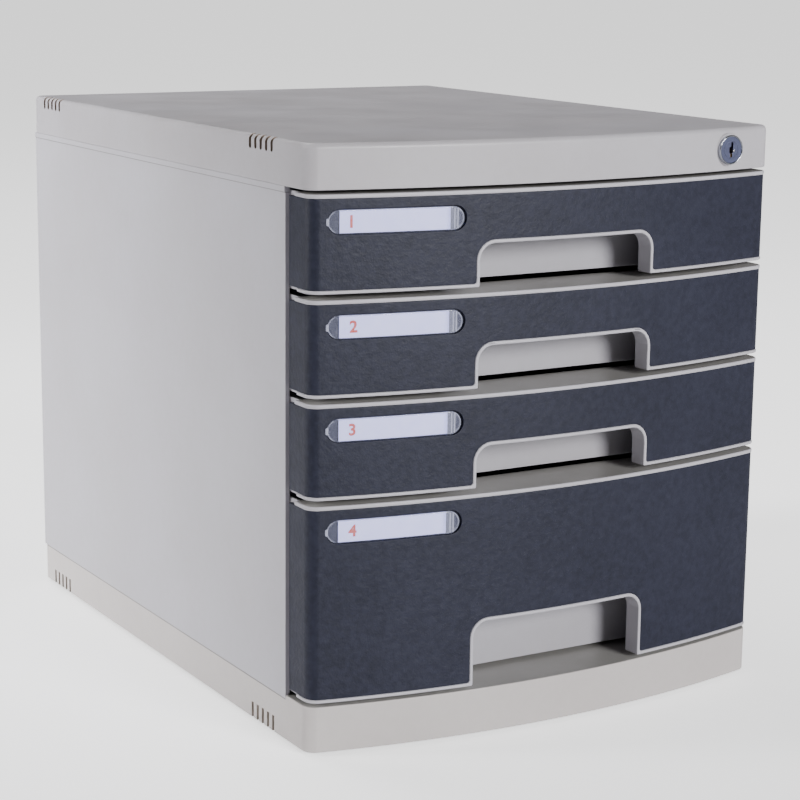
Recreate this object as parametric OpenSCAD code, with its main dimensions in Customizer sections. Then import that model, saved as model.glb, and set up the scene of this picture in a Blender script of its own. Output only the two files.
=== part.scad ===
// Desktop file drawer: three shallow drawers over a deep one, in a moulded cabinet with a lock.
// Origin: bottom centre of the cabinet. +Z is up, the drawer fronts face -Y, +X is to the right.
// All lengths are in millimetres.

/* [Cabinet] */
// Width over the lid
cabinet_w = 302; // [280:1:340]
// Depth of the side panels
side_depth = 358.5; // [330:0.5:400]
// How far the ends of the front arc stand ahead of the side panels
corner_lead = 25.6; // [22:0.2:30]
// Rise of the front arc from its ends to its middle
bulge_rise = 18.9; // [12:0.1:26]
// Radius of the vertical front corners
corner_r = 8; // [6:0.5:12]
// Thickness of the moulded walls
wall = 2.6; // [2:0.1:3.2]
// Setback of the lid and base fronts behind the drawer fronts
front_setback = 0.8; // [0.4:0.1:2]
// Inset of the side panels' main face and of the base behind the lid's sides
side_inset = 0.5; // [0.2:0.1:1]

/* [Base] */
// Height of the base at its sides
base_h = 23.7; // [20:0.1:32]
// Rise of the front ledge above the sides of the base
ledge_rise = 2; // [1:0.1:3]
// Height of the rubber feet
foot_h = 2; // [1:0.5:5]
// Radius of the rubber feet
foot_r = 8; // [6:0.5:12]
// Radius of the stud that plugs each foot into its boss
foot_stud_r = 2.5; // [1.5:0.1:3.5]
// Length of the stud
foot_stud_h = 6; // [3:0.5:10]
// Clearance between the feet's bosses and the heads of the panel screws
foot_side_gap = 2; // [1:0.5:20]
// Distance of the feet from the rear and from the side panels' front edge
foot_end = 22; // [16:1:50]

/* [Lid] */
// Height of the lid
lid_h = 24.2; // [22:0.1:32]
// Height of the stiffening ribs under the lid and the base plate
rib_h = 4; // [2:0.5:6]
// Thickness of the stiffening ribs
rib_t = 1.6; // [1:0.1:2.5]
// Number of stiffening ribs
rib_count = 3; // [1:1:5]
// Height of the rim along the top edge of the side panels
rim_h = 3.2; // [2:0.1:5]

/* [Side slots] */
// Slots in each group
slot_count = 5; // [3:1:7]
// Distance between neighbouring slots
slot_pitch = 6.35; // [5:0.05:8]
// Width of a slot
slot_w = 2.4; // [1.5:0.1:3]
// Height of the slots in the lid
lid_slot_h = 7.6; // [5:0.1:12]
// Height of the slots in the base
base_slot_h = 9.4; // [5:0.1:12]
// Middle of the front group, from the side panels' front edge
slot_front = 27.4; // [24:0.2:40]
// Middle of the rear group, from the rear edge
slot_rear = 31.5; // [24:0.5:50]

/* [Drawers] */
// Number of shallow drawers
shallow_count = 3; // [2:1:4]
// Height of a shallow drawer front
shallow_h = 51.9; // [49:0.1:60]
// Height of the deep drawer front
deep_h = 109.1; // [80:0.1:140]
// Gap between neighbouring drawer fronts
front_gap = 3.1; // [2:0.1:5]
// Gap between the base ledge and the deep drawer
base_gap = 2.3; // [1:0.1:4]
// Gap between the top drawer and the lid
lid_gap = 2; // [1:0.1:4]
// Inset of the drawer fronts behind the lid's sides
front_inset = 1; // [0.4:0.1:2]
// Gap between the side panels' front edge and the closed drawer fronts
mouth_gap = 2.5; // [1:0.1:5]
// How far the light side returns of a closed front reach in between the side panels
return_reach = 3; // [1:0.1:3.5]
// How far a drawer pulls out
travel = 260; // [200:5:280]

/* [Drawer trays] */
// Space between the tray and each side panel
tray_side = 13.9; // [12.5:0.1:18]
// Wall and floor thickness of the tray
tray_t = 2; // [1.5:0.1:2.6]
// Depth of the front box, from the middle of the front to the tray's front wall
front_box = 33; // [30:0.5:40]
// Gap between the closed tray and the back panel
rear_gap = 9; // [4:0.5:20]
// Height of the runner flange's top below the top of the drawer front
flange_drop = 10; // [9:0.5:14]
// Gap between the runner flange and the side panel
flange_gap = 3.3; // [2.5:0.1:4]
// Thickness of the runner flange
flange_t = 2; // [1.5:0.1:3]
// Distance of the flange's front end behind the tray's front wall
flange_lead = 14; // [8:1:20]

/* [Runners] */
// Sliding clearance between the flange and its runner
slide_gap = 0.3; // [0.2:0.05:0.5]
// Clearance under the upper runner rib
tilt_gap = 0.8; // [0.5:0.1:1.5]
// Gap between the runners and the tray
runner_gap = 2.4; // [1.5:0.1:4]
// Width of the upper runner rib
upper_w = 7.4; // [6.5:0.1:8]
// Thickness of the runners
runner_t = 2.4; // [1.6:0.1:3]
// Distance of the runners' front ends behind the side panels' front edge
runner_lead = 21; // [20:0.5:30]
// Length of the stop lug at the front of each upper rib
stop_len = 4; // [3:0.5:8]
// Height of the stop nib on the flange
nib_h = 5; // [3:0.5:6]
// Width of the stop nib
nib_w = 3.4; // [2.5:0.1:3.6]

/* [Drawer fronts] */
// Height of the top trim lip
top_lip = 2.3; // [1.5:0.1:4]
// Height of the bottom trim lip
bottom_lip = 1.9; // [1.2:0.1:4]
// Step from the trim back to the dark fascia
fascia_step = 0.4; // [0.2:0.1:1]
// Thickness of the dark fascia
fascia_t = 2; // [1.8:0.1:3]
// Thickness of the front box's skin behind the fascia
skin_t = 1.6; // [1.2:0.1:2.4]
// Assembly clearance between pieces of a drawer front
fit_gap = 0.05; // [0.03:0.01:0.1]
// Outer width of the finger notch
notch_w = 116; // [90:1:140]
// Height of the finger notch in the shallow drawers
notch_shallow = 25.2; // [20:0.2:32]
// Height of the finger notch in the deep drawer
notch_deep = 38.4; // [25:0.2:50]
// Radius of the notch's upper corners
notch_r = 11; // [7:0.5:14]
// Width of the light rim round the notch
notch_rim = 2; // [1.5:0.1:3]
// Depth of the notch's inner walls
notch_depth = 10.5; // [8:0.5:16]

/* [Labels] */
// Length of the clear label window
window_l = 75.7; // [60:0.1:90]
// Height of the clear label window
window_h = 12.6; // [10:0.1:16]
// Thickness of the clear label window
window_t = 1.1; // [0.8:0.1:1.4]
// Length of the paper card
card_l = 60.8; // [40:0.1:62]
// Height of the paper card
card_h = 11.9; // [8:0.1:12]
// Thickness of the paper card
card_t = 0.25; // [0.2:0.05:0.4]
// Middle of the window from the left side of the cabinet
window_side = 48.5; // [48:0.5:60]
// Middle of the window below the top of the front
window_drop = 14.4; // [12:0.1:18]

/* [Lock] */
// Distance of the lock from the right side of the cabinet
lock_side = 37; // [33:0.5:46]
// Radius of the lock's bezel
bezel_r = 8.6; // [8:0.1:9.5]
// How far the bezel stands out of its seat
bezel_t = 2; // [1.2:0.1:3]
// Radius of the lock's barrel
barrel_r = 6.5; // [6:0.1:7]
// Length of the barrel behind the bezel
barrel_l = 24; // [22:0.5:26]
// Radius of the turning plug
plug_r = 4.75; // [4.4:0.05:5]
// Radial running clearance of the plug
plug_gap = 0.08; // [0.05:0.01:0.1]
// Width across the flats of the nut
nut_af = 16; // [15.5:0.1:17]
// Thickness of the nut
nut_t = 4; // [3:0.5:6]
// Radius of the cam's hub
cam_r = 6.2; // [6:0.1:7]
// Thickness of the cam
cam_t = 2.4; // [2:0.1:3]
// Radius of the crank pin
crank_r = 1.25; // [1:0.05:1.5]
// Vertical stroke of the lock bar
bar_stroke = 6; // [5:0.1:6.5]
// Thickness of the lock bar's steel strip
bar_t = 1.4; // [1:0.1:1.5]
// Width of the lock bar's strip
bar_w = 10; // [8:0.5:12]
// Height of a pawl
pawl_h = 4; // [3:0.5:5]
// Depth of a pawl
pawl_d = 3.4; // [2.5:0.1:4]

/* [Screws] */
// Radius of the screw shanks
screw_r = 1.6; // [1.2:0.1:2]
// Radius of the screw heads
screw_head_r = 3.2; // [2.6:0.1:3.6]
// Height of the screw heads
screw_head_h = 1.8; // [1.2:0.1:2.4]
// Radius of the screw bosses
boss_r = 3.6; // [3.2:0.1:4.5]
// Length of the screw shanks in their bosses
screw_bite = 7; // [5:0.5:9]
// Clearance of a screw in its hole
screw_gap = 0.05; // [0.02:0.01:0.1]

/* [Hidden] */
$fn = 64;
eps = 0.01;
// How far a cutting shape runs past the face that it cuts
cut = 1;
drawer_count = shallow_count + 1;
drawer_list = [1 : drawer_count];

shell_grey = [0.76, 0.76, 0.78];
lid_grey = [0.72, 0.71, 0.71];
slate = [0.27, 0.28, 0.33];
chrome = [0.80, 0.82, 0.85];
steel = [0.62, 0.63, 0.65];
rubber = [0.15, 0.15, 0.15];
paper = [0.88, 0.88, 0.92];
clear = [0.80, 0.85, 0.92, 0.4];

// Planes across the cabinet
half_w = cabinet_w / 2;
front_y = -(side_depth + corner_lead + bulge_rise) / 2;
panel_y = front_y + bulge_rise + corner_lead;
back_y = panel_y + side_depth;
arc_r = (half_w * half_w + bulge_rise * bulge_rise) / (2 * bulge_rise);
arc_y = front_y + arc_r;
side_x = half_w - side_inset;
inner_x = side_x - wall;

// Levels, from the table up
base_top = foot_h + base_h;
deep_z = base_top + ledge_rise + base_gap;
lid_z = deep_z + deep_h + shallow_count * (front_gap + shallow_h) + lid_gap;
total_h = lid_z + lid_h;

// Height, underside and top of drawer i, counted from the top
function front_h(i) = i > shallow_count ? deep_h : shallow_h;
function notch_h(i) = i > shallow_count ? notch_deep : notch_shallow;
function drawer_z(i) = i > shallow_count
    ? deep_z : deep_z + deep_h + front_gap + (shallow_count - i) * (shallow_h + front_gap);
function drawer_top(i) = drawer_z(i) + front_h(i);
function flange_z(i) = drawer_top(i) - flange_drop;

// Front surface, at a distance x from the middle and inset behind the drawer fronts
function arc_front(x, inset) = arc_y - sqrt(pow(arc_r - inset, 2) - x * x);

// Back panel and trays
back_t = 2.4;
back_lead = 1;
back_inner_y = back_y - back_lead - back_t;
tray_x = inner_x - tray_side;
flange_w = tray_side - flange_gap;
runner_w = tray_side - runner_gap;
tray_front_y = front_y + front_box;
tray_back_y = back_inner_y - rear_gap;
frame_back_y = panel_y - mouth_gap;
return_back_y = panel_y + return_reach;
ledge_back_y = tray_front_y + tray_t;
nib_y = panel_y + runner_lead + stop_len + travel + slide_gap;
nib_inset = 0.5;
nib_x = tray_x + nib_inset;

// Depths behind the front arc of the pieces of a drawer front
fascia_back = fascia_step + fascia_t;
skin_front = fascia_back + fit_gap;
skin_back = skin_front + skin_t;
window_sink = 0.1;
window_front = fascia_step + window_sink;
window_back = window_front + window_t;
card_front = window_back + fit_gap;
card_back = card_front + card_t;
pocket_back = card_back + fit_gap;
min_corner_r = 1;
window_x = half_w - window_side;

// Screw places
tip_gap = 1;
panel_flange_w = 12;
panel_flange_lead = runner_lead + 1;
panel_screw_x = inner_x - panel_flange_w / 2;
panel_screw_end = 26;
panel_screw_ys = [for (k = [0 : 2])
    panel_y + panel_flange_lead + panel_screw_end
        + k * (side_depth - panel_flange_lead - 2 * panel_screw_end) / 2];
front_screw_side = 31;
front_screw_x = half_w - front_screw_side;
front_screw_low = 12;
front_screw_high = 16;
function front_screw_zs(i) = [drawer_z(i) + front_screw_low, drawer_top(i) - front_screw_high];

// Feet
foot_boss_wall = 2;
foot_boss_r = foot_r + foot_boss_wall;
foot_x = panel_screw_x - screw_head_r - foot_side_gap - foot_boss_r;
foot_ys = [panel_y + foot_end, back_y - foot_end];

// Lock
lock_x = half_w - lock_side;
lock_z = lid_z + lid_h / 2;
seat_gap = 0.2;
lock_seat_y = arc_front(lock_x - bezel_r, front_setback) - seat_gap;
seat_margin = 0.6;
barrel_end_y = lock_seat_y + barrel_l;
cam_gap = 0.3;
cam_y = barrel_end_y + cam_gap;
cam_back_y = cam_y + cam_t;
arm_gap = 0.8;
arm_y = cam_back_y + arm_gap;
crank_angle = 45;
crank_arm = bar_stroke / 2 / sin(crank_angle);
cam_screw_r = 2.6;
pin_tip = 1;
pin_l = arm_gap + bar_t + pin_tip;
pin_x = lock_x + crank_arm * cos(crank_angle);
pin_z = lock_z - crank_arm * sin(crank_angle);
pin_slack = 0.22;
fork_lead = 1.75;
fork_x = lock_x + fork_lead;
nut_seat = 9;
nut_y = lock_seat_y + nut_seat;
bezel_lip = 1.2;
keyhole = [1.5, 7.6];
keyhole_depth = 8;
plug_face_depth = 0.5;
bar_gap = 0.3;
bar_x1 = inner_x - bar_gap;
bar_x0 = bar_x1 - bar_t;
bar_lead = 7;
bar_y0 = panel_y + bar_lead;
bar_y1 = bar_y0 + bar_w;
arm_h = 8;
flag_z0 = pin_z - arm_h / 2;
flag_z1 = pin_z + arm_h / 2;
pawl_inset = 3;
pawl_y0 = bar_y0 + pawl_inset;
pawl_y1 = pawl_y0 + pawl_d;
lug_gap = 2.2;
lug_t = 3;
lug_w = 6.4;
lug_h = 5.5;
lug_y = pawl_y1 + lug_gap;
pawl_clear = 1.5;
pawl_reach = 7.6;
function lug_z(i) = flange_z(i) - flange_t - lug_h;
function pawl_z(i) = lug_z(i) - pawl_clear - pawl_h;
guide_rise = 10;
guide_h = 8;
guide_t = 2;
strap_t = 1;
guide_zs = [drawer_z(1) + guide_rise, drawer_z(3) + guide_rise];

cabinet_nodes = ["base", "left_side_panel", "right_side_panel", "back_panel", "lid",
    "rubber_feet", "base_screws", "lid_screws", "lock_housing", "lock_nut", "bar_guides"];
lock_nodes = ["lock_plug", "lock_cam", "cam_screw", "lock_bar", "bar_pawls"];
drawer_parts = ["tray", "front_frame", "fascia", "label_card", "label_window", "front_screws"];

// Plan of the cabinet with its bulged front and rounded front corners.
// side_in and arc_in set the outline back at the sides and at the front, back is its rear edge.
module plan(side_in, arc_in, back, round_r) {
    half = half_w - side_in;
    radius = arc_r - arc_in;
    fx = half - round_r;
    fy = arc_y - sqrt(pow(radius - round_r, 2) - fx * fx);
    tangent = [fx, fy - arc_y] / (radius - round_r);
    beyond = [fx, fy] + 2 * round_r * tangent;
    difference() {
        intersection() {
            translate([0, arc_y]) circle(r = radius, $fn = 360);
            translate([-half, front_y - cut]) square([2 * half, back - front_y + cut]);
        }
        for (side = [-1, 1]) scale([side, 1]) difference() {
            polygon([[fx, fy], [half + cut, fy], [half + cut, beyond[1]], beyond]);
            translate([fx, fy]) circle(r = round_r);
        }
    }
}

// Curved slice of a drawer front between two depths behind the front arc
module front_slice(depth_0, depth_1, back) {
    difference() {
        plan(front_inset + depth_0, depth_0, back, corner_r - depth_0);
        plan(front_inset + depth_1, depth_1, back + cut, max(corner_r - depth_1, min_corner_r));
    }
}

// Plain block from its lowest to its highest corner
module block(low, high) {
    translate(low) cube(high - low);
}

// Mirrored copies on the left and on the right
module both_sides() {
    children();
    mirror([1, 0, 0]) children();
}

// Side profile of the finger notch, as a prism along Y; grow widens it all round
module notch_prism(i, grow, y0, y1) {
    half = notch_w / 2 + grow;
    top = notch_h(i) + grow;
    r = notch_r + grow;
    translate([0, y1, drawer_z(i)]) rotate([90, 0, 0]) linear_extrude(y1 - y0) union() {
        translate([-half, -cut]) square([2 * half, top - r + cut]);
        translate([-half + r, -cut]) square([2 * (half - r), top + cut]);
        for (side = [-1, 1]) translate([side * (half - r), top - r]) circle(r = r);
    }
}

// One group of slots through a side wall, between two levels
module slot_group(middle_y, z0, z1) {
    first_y = middle_y - (slot_count - 1) / 2 * slot_pitch - slot_w / 2;
    for (y = [for (k = [0 : slot_count - 1]) first_y + k * slot_pitch])
        block([side_x - wall - cut, y, z0], [half_w + cut, y + slot_w, z1]);
}

module side_slots(z0, z1) {
    both_sides() for (y = [panel_y + slot_front, back_y - slot_rear]) slot_group(y, z0, z1);
}

// Stiffening ribs across the cabinet between two levels
module cross_ribs(z0, z1) {
    for (k = [1 : rib_count]) translate([0, panel_y + k * side_depth / (rib_count + 1), 0])
        block([-inner_x + wall, -rib_t / 2, z0], [inner_x - wall, rib_t / 2, z1]);
}

// Pan-head screw pointing up, its head's top at the origin
module screw(shank) {
    translate([0, 0, -screw_head_h]) cylinder(h = screw_head_h, r = screw_head_r);
    translate([0, 0, -eps]) cylinder(h = shank + eps, r = screw_r);
}

module screw_hole(depth) {
    translate([0, 0, -cut]) cylinder(h = depth + cut, r = screw_r + screw_gap);
}

module at_panel_screws(z) {
    for (side = [-1, 1]) for (y = panel_screw_ys) translate([side * panel_screw_x, y, z]) children();
}

module at_feet(z) {
    for (x = [-foot_x, foot_x]) for (y = foot_ys) translate([x, y, z]) children();
}

module base() color(shell_grey) difference() {
    union() {
        translate([0, 0, foot_h]) linear_extrude(base_h)
            plan(side_inset, front_setback, back_y, corner_r);
        translate([0, 0, base_top - eps]) linear_extrude(ledge_rise + eps)
            plan(side_inset, front_setback, panel_y - slide_gap, corner_r);
    }
    difference() {
        translate([0, 0, foot_h - eps]) linear_extrude(base_h - wall + eps)
            plan(side_inset + wall, front_setback + wall, back_y - wall, corner_r - wall);
        at_feet(0) cylinder(h = base_top, r = foot_boss_r);
        cross_ribs(base_top - wall - rib_h, base_top);
    }
    side_slots(foot_h - cut, foot_h + base_slot_h);
    at_feet(foot_h - cut) cylinder(h = foot_stud_h + cut, r = foot_stud_r + fit_gap);
    at_panel_screws(base_top - wall) screw_hole(wall + cut);
}

module rubber_feet() color(rubber) at_feet(0) {
    cylinder(h = foot_h, r = foot_r);
    translate([0, 0, foot_h - eps]) cylinder(h = foot_stud_h - fit_gap, r = foot_stud_r);
}

module lid() color(lid_grey) difference() {
    union() {
        translate([0, 0, lid_z]) difference() {
            linear_extrude(lid_h) plan(0, front_setback, back_y, corner_r);
            translate([0, 0, -eps]) linear_extrude(lid_h - wall + eps)
                plan(wall, front_setback + wall, back_y - wall, corner_r - wall);
        }
        cross_ribs(total_h - wall - rib_h, total_h - wall + eps);
        at_panel_screws(lid_z) cylinder(h = lid_h - wall + eps, r = boss_r);
        translate([lock_x, lock_seat_y, lock_z]) rotate([-90, 0, 0])
            cylinder(h = nut_y - lock_seat_y, r = bezel_r + seat_margin);
    }
    side_slots(total_h - lid_slot_h, total_h + cut);
    at_panel_screws(lid_z) screw_hole(screw_bite + tip_gap);
    translate([lock_x, lock_seat_y - cut, lock_z]) rotate([-90, 0, 0])
        cylinder(h = nut_y - lock_seat_y + 2 * cut, r = barrel_r + fit_gap);
}

// Right side panel with its runners; the left one is its mirror image
module side_panel() difference() {
    union() {
        block([inner_x, panel_y, base_top], [side_x, back_y, lid_z]);
        block([side_x - eps, panel_y, lid_z - rim_h], [half_w, back_y, lid_z]);
        for (z = [base_top, lid_z - wall])
            block([inner_x - panel_flange_w, panel_y + panel_flange_lead, z],
                [inner_x + eps, back_y - back_lead - back_t - slide_gap, z + wall]);
        for (i = drawer_list) runner(i);
        for (y = [back_inner_y - slide_gap - rib_t, back_y - back_lead + slide_gap])
            block([inner_x - rib_h, y, base_top + wall],
                [inner_x + eps, min(y + rib_t, back_y), lid_z - wall]);
    }
    for (y = panel_screw_ys) for (z = [base_top, lid_z - wall]) translate([panel_screw_x, y, z])
        screw_hole(wall + cut);
}

// Lower runner, upper rib and stop lug for drawer i
module runner(i) {
    y0 = panel_y + runner_lead;
    y1 = tray_back_y;
    low = flange_z(i) - flange_t - slide_gap;
    high = flange_z(i) + tilt_gap;
    block([inner_x - runner_w, y0, low - runner_t], [inner_x + eps, y1, low]);
    block([inner_x - upper_w, y0, high], [inner_x + eps, y1, high + runner_t]);
    block([inner_x - runner_w, y0, high], [inner_x - upper_w + eps, y0 + stop_len, high + runner_t]);
}

module right_side_panel() color(shell_grey) side_panel();
module left_side_panel() color(shell_grey) mirror([1, 0, 0]) side_panel();

module back_panel() color(shell_grey)
    block([-inner_x + slide_gap, back_inner_y, base_top],
        [inner_x - slide_gap, back_inner_y + back_t, lid_z]);

module base_screws() color(steel) at_panel_screws(base_top - wall) screw(2 * wall);

module lid_screws() color(steel) at_panel_screws(lid_z - wall) screw(wall + screw_bite);

module lock_housing() color(chrome) translate([lock_x, lock_seat_y, lock_z]) rotate([-90, 0, 0])
    difference() {
        union() {
            translate([0, 0, -bezel_t]) cylinder(h = bezel_t, r = bezel_r);
            translate([0, 0, -eps]) cylinder(h = barrel_l + eps, r = barrel_r);
        }
        translate([0, 0, -bezel_t - cut]) {
            cylinder(h = barrel_l + bezel_t + 2 * cut, r = plug_r + plug_gap);
            cylinder(h = plug_face_depth + cut, r = bezel_r - bezel_lip);
        }
    }

module lock_nut() color(steel) translate([lock_x, nut_y, lock_z]) rotate([-90, 0, 0])
    difference() {
        rotate(30) cylinder(h = nut_t, r = nut_af / 2 / cos(30), $fn = 6);
        translate([0, 0, -cut]) cylinder(h = nut_t + 2 * cut, r = barrel_r + fit_gap);
    }

module lock_plug() color(chrome) translate([lock_x, lock_seat_y, lock_z]) rotate([-90, 0, 0])
    difference() {
        translate([0, 0, -bezel_t + plug_face_depth])
            cylinder(h = cam_y - lock_seat_y + bezel_t - plug_face_depth, r = plug_r);
        translate([-keyhole[0] / 2, -keyhole[1] / 2, -bezel_t - cut])
            cube([keyhole[0], keyhole[1], keyhole_depth]);
        translate([0, 0, cam_y - lock_seat_y - screw_bite])
            cylinder(h = screw_bite + cut, r = screw_r + screw_gap);
    }

module lock_cam() color(steel) difference() {
    translate([lock_x, cam_y, lock_z]) rotate([-90, 0, 0]) union() {
        cylinder(h = cam_t, r = cam_r);
        translate([pin_x - lock_x, lock_z - pin_z, cam_t - eps]) cylinder(h = pin_l, r = crank_r);
    }
    translate([lock_x, cam_y - cut, lock_z]) rotate([-90, 0, 0]) {
        cylinder(h = cam_t + 2 * cut, r = screw_r + screw_gap);
        translate([0, 0, cut + cam_t / 2]) cylinder(h = cam_t, r = cam_screw_r + screw_gap);
    }
}

module cam_screw() color(steel) translate([lock_x, cam_y + cam_t / 2, lock_z]) rotate([90, 0, 0]) {
    translate([0, 0, -cam_t / 2 + eps]) cylinder(h = cam_t / 2 - eps, r = cam_screw_r);
    translate([0, 0, -eps]) cylinder(h = cam_t / 2 + screw_bite - tip_gap, r = screw_r);
}

// Strip with the forked arm that the crank pin lifts
module lock_bar() color(steel) difference() {
    union() {
        block([bar_x0, bar_y0, pawl_z(drawer_count) - pawl_h], [bar_x1, bar_y1, flag_z1]);
        block([bar_x0, arm_y, flag_z0], [bar_x1, bar_y1, flag_z1]);
        block([fork_x, arm_y, flag_z0], [bar_x1, arm_y + bar_t, flag_z1]);
    }
    block([fork_x - cut, arm_y - cut, pin_z - crank_r - pin_slack],
        [lock_x + crank_arm + crank_r + pin_slack, arm_y + bar_t + cut, pin_z + crank_r + pin_slack]);
}

// One pawl for each drawer, welded to the strip
module bar_pawls() color(steel) for (i = drawer_list)
    block([bar_x0 - pawl_reach, pawl_y0, pawl_z(i)], [bar_x0, pawl_y1, pawl_z(i) + pawl_h]);

// Staples that hold the strip to the right side panel
module bar_guides() color(steel) for (z = guide_zs) difference() {
    block([bar_x0 - bar_gap - strap_t, bar_y0 - bar_gap - guide_t, z],
        [inner_x, bar_y1 + bar_gap + guide_t, z + guide_h]);
    block([bar_x0 - bar_gap, bar_y0 - bar_gap, z - cut],
        [inner_x + cut, bar_y1 + bar_gap, z + guide_h + cut]);
}

module drawer_tray(i) color(shell_grey) {
    z0 = drawer_z(i);
    rim_z = flange_z(i);
    wall_top = drawer_top(i) - top_lip;
    difference() {
        union() {
            block([-tray_x, tray_front_y, z0], [tray_x, tray_back_y, rim_z]);
            block([-tray_x, tray_front_y, z0], [tray_x, tray_front_y + tray_t, wall_top]);
        }
        block([-tray_x + tray_t, tray_front_y + tray_t, z0 + tray_t],
            [tray_x - tray_t, tray_back_y - tray_t, wall_top + cut]);
        for (side = [-1, 1]) for (z = front_screw_zs(i))
            translate([side * front_screw_x, tray_front_y, z]) rotate([-90, 0, 0])
                screw_hole(tray_t + cut);
    }
    both_sides() {
        block([tray_x - eps, tray_front_y + flange_lead, rim_z - flange_t],
            [tray_x + flange_w, tray_back_y, rim_z]);
        block([nib_x, nib_y, rim_z - eps], [nib_x + nib_w, nib_y + stop_len, rim_z + nib_h]);
    }
    block([tray_x + flange_w - lug_w, lug_y, lug_z(i)],
        [tray_x + flange_w, lug_y + lug_t, rim_z - flange_t + eps]);
}

module front_frame(i) color(shell_grey) {
    z0 = drawer_z(i);
    z1 = drawer_top(i);
    difference() {
        union() {
            // top ledge
            translate([0, 0, z1 - top_lip]) linear_extrude(top_lip)
                plan(front_inset, 0, ledge_back_y, corner_r);
            // bottom plate
            translate([0, 0, z0]) linear_extrude(bottom_lip)
                plan(front_inset, 0, tray_front_y, corner_r);
            // skin behind the fascia, with the side returns
            translate([0, 0, z0]) linear_extrude(z1 - z0)
                front_slice(skin_front, skin_back, return_back_y);
            // rim and inner walls of the notch
            intersection() {
                notch_prism(i, 0, front_y, front_y + notch_depth + bulge_rise);
                translate([0, 0, z0]) linear_extrude(z1 - z0)
                    front_slice(0, notch_depth, frame_back_y);
            }
            for (side = [-1, 1]) for (z = front_screw_zs(i))
                translate([side * front_screw_x, tray_front_y, z]) rotate([90, 0, 0])
                    cylinder(h = tray_front_y - arc_front(front_screw_x + boss_r, skin_front),
                        r = boss_r);
        }
        notch_prism(i, -notch_rim, front_y - cut, tray_front_y + cut);
        for (side = [-1, 1]) for (z = front_screw_zs(i))
            translate([side * front_screw_x, tray_front_y, z]) rotate([90, 0, 0])
                screw_hole(screw_bite + tip_gap);
    }
}

// Pocket and window outline, as a prism along Y with round ends
module window_prism(i, grow) {
    r = window_h / 2 + grow;
    run = window_l / 2 - window_h / 2;
    translate([-window_x, panel_y, drawer_top(i) - window_drop]) rotate([90, 0, 0])
        linear_extrude(panel_y - front_y + cut) union() {
            translate([-run, -r]) square([2 * run, 2 * r]);
            for (side = [-1, 1]) translate([side * run, 0]) circle(r = r);
        }
}

module fascia(i) color(slate) difference() {
    translate([0, 0, drawer_z(i) + bottom_lip + fit_gap])
        linear_extrude(front_h(i) - bottom_lip - top_lip - 2 * fit_gap)
            front_slice(fascia_step, fascia_back, frame_back_y);
    notch_prism(i, fit_gap, front_y - cut, panel_y);
    intersection() {
        window_prism(i, fit_gap);
        translate([0, 0, drawer_z(i)]) linear_extrude(front_h(i))
            front_slice(0, pocket_back, frame_back_y);
    }
}

module label_card(i) color(paper) intersection() {
    translate([0, 0, drawer_z(i)]) linear_extrude(front_h(i))
        front_slice(card_front, card_back, frame_back_y);
    block([-window_x - card_l / 2, front_y, drawer_top(i) - window_drop - card_h / 2],
        [-window_x + card_l / 2, panel_y, drawer_top(i) - window_drop + card_h / 2]);
}

module label_window(i) color(clear) intersection() {
    translate([0, 0, drawer_z(i)]) linear_extrude(front_h(i))
        front_slice(window_front, window_back, frame_back_y);
    window_prism(i, 0);
}

module front_screws(i) color(steel)
    for (side = [-1, 1]) for (z = front_screw_zs(i))
        translate([side * front_screw_x, tray_front_y + tray_t, z]) rotate([90, 0, 0])
            screw(tray_t + screw_bite);

base();
left_side_panel();
right_side_panel();
back_panel();
lid();
rubber_feet();
base_screws();
lid_screws();
lock_housing();
lock_nut();
bar_guides();
lock_plug();
lock_cam();
cam_screw();
lock_bar();
bar_pawls();
for (i = drawer_list) {
    drawer_tray(i);
    front_frame(i);
    fascia(i);
    label_card(i);
    label_window(i);
    front_screws(i);
}
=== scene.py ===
import math

import bmesh
import bpy
import numpy as np
from mathutils import Matrix, Vector
from mathutils.geometry import delaunay_2d_cdt


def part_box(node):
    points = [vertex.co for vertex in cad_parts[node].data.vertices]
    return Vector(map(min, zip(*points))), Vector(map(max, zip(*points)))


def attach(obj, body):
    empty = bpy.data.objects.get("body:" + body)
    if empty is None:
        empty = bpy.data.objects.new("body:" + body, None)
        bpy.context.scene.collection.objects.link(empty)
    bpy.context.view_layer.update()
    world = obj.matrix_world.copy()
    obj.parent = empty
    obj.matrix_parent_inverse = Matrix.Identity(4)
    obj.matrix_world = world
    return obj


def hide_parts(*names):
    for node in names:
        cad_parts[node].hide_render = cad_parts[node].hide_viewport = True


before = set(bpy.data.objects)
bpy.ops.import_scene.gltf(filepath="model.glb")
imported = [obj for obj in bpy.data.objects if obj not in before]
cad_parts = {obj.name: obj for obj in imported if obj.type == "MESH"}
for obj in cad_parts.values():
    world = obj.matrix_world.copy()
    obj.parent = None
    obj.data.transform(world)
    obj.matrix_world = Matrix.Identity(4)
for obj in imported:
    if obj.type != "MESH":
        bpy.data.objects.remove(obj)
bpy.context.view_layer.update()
mm = 0.001
past = 2 * mm  # how far a cutting tool stands past what it cuts
hair = 0.01 * mm  # keeps neighbouring faces out of one plane
print("frame loaded:", len(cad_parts), "nodes")

# planes of the cabinet, from the frame; the front is one shallow arc that all fronts share
cabinet = {
    "bulge": 18.9 * mm,  # rise of the arc from its ends to its middle
    "cornerRadius": 8.0 * mm,  # vertical front corners
    "rearRadius": 4.0 * mm,
    "frontInset": 1.0 * mm,  # drawer fronts inside the lid's sides
    "wall": 2.6 * mm,
}
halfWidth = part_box("lid")[1].x
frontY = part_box("drawer_1_front_frame")[0].y
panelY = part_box("left_side_panel")[0].y
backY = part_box("left_side_panel")[1].y
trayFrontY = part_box("drawer_1_tray")[0].y
arcRadius = (halfWidth**2 + cabinet["bulge"] ** 2) / (2 * cabinet["bulge"])
arcY = frontY + arcRadius


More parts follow.
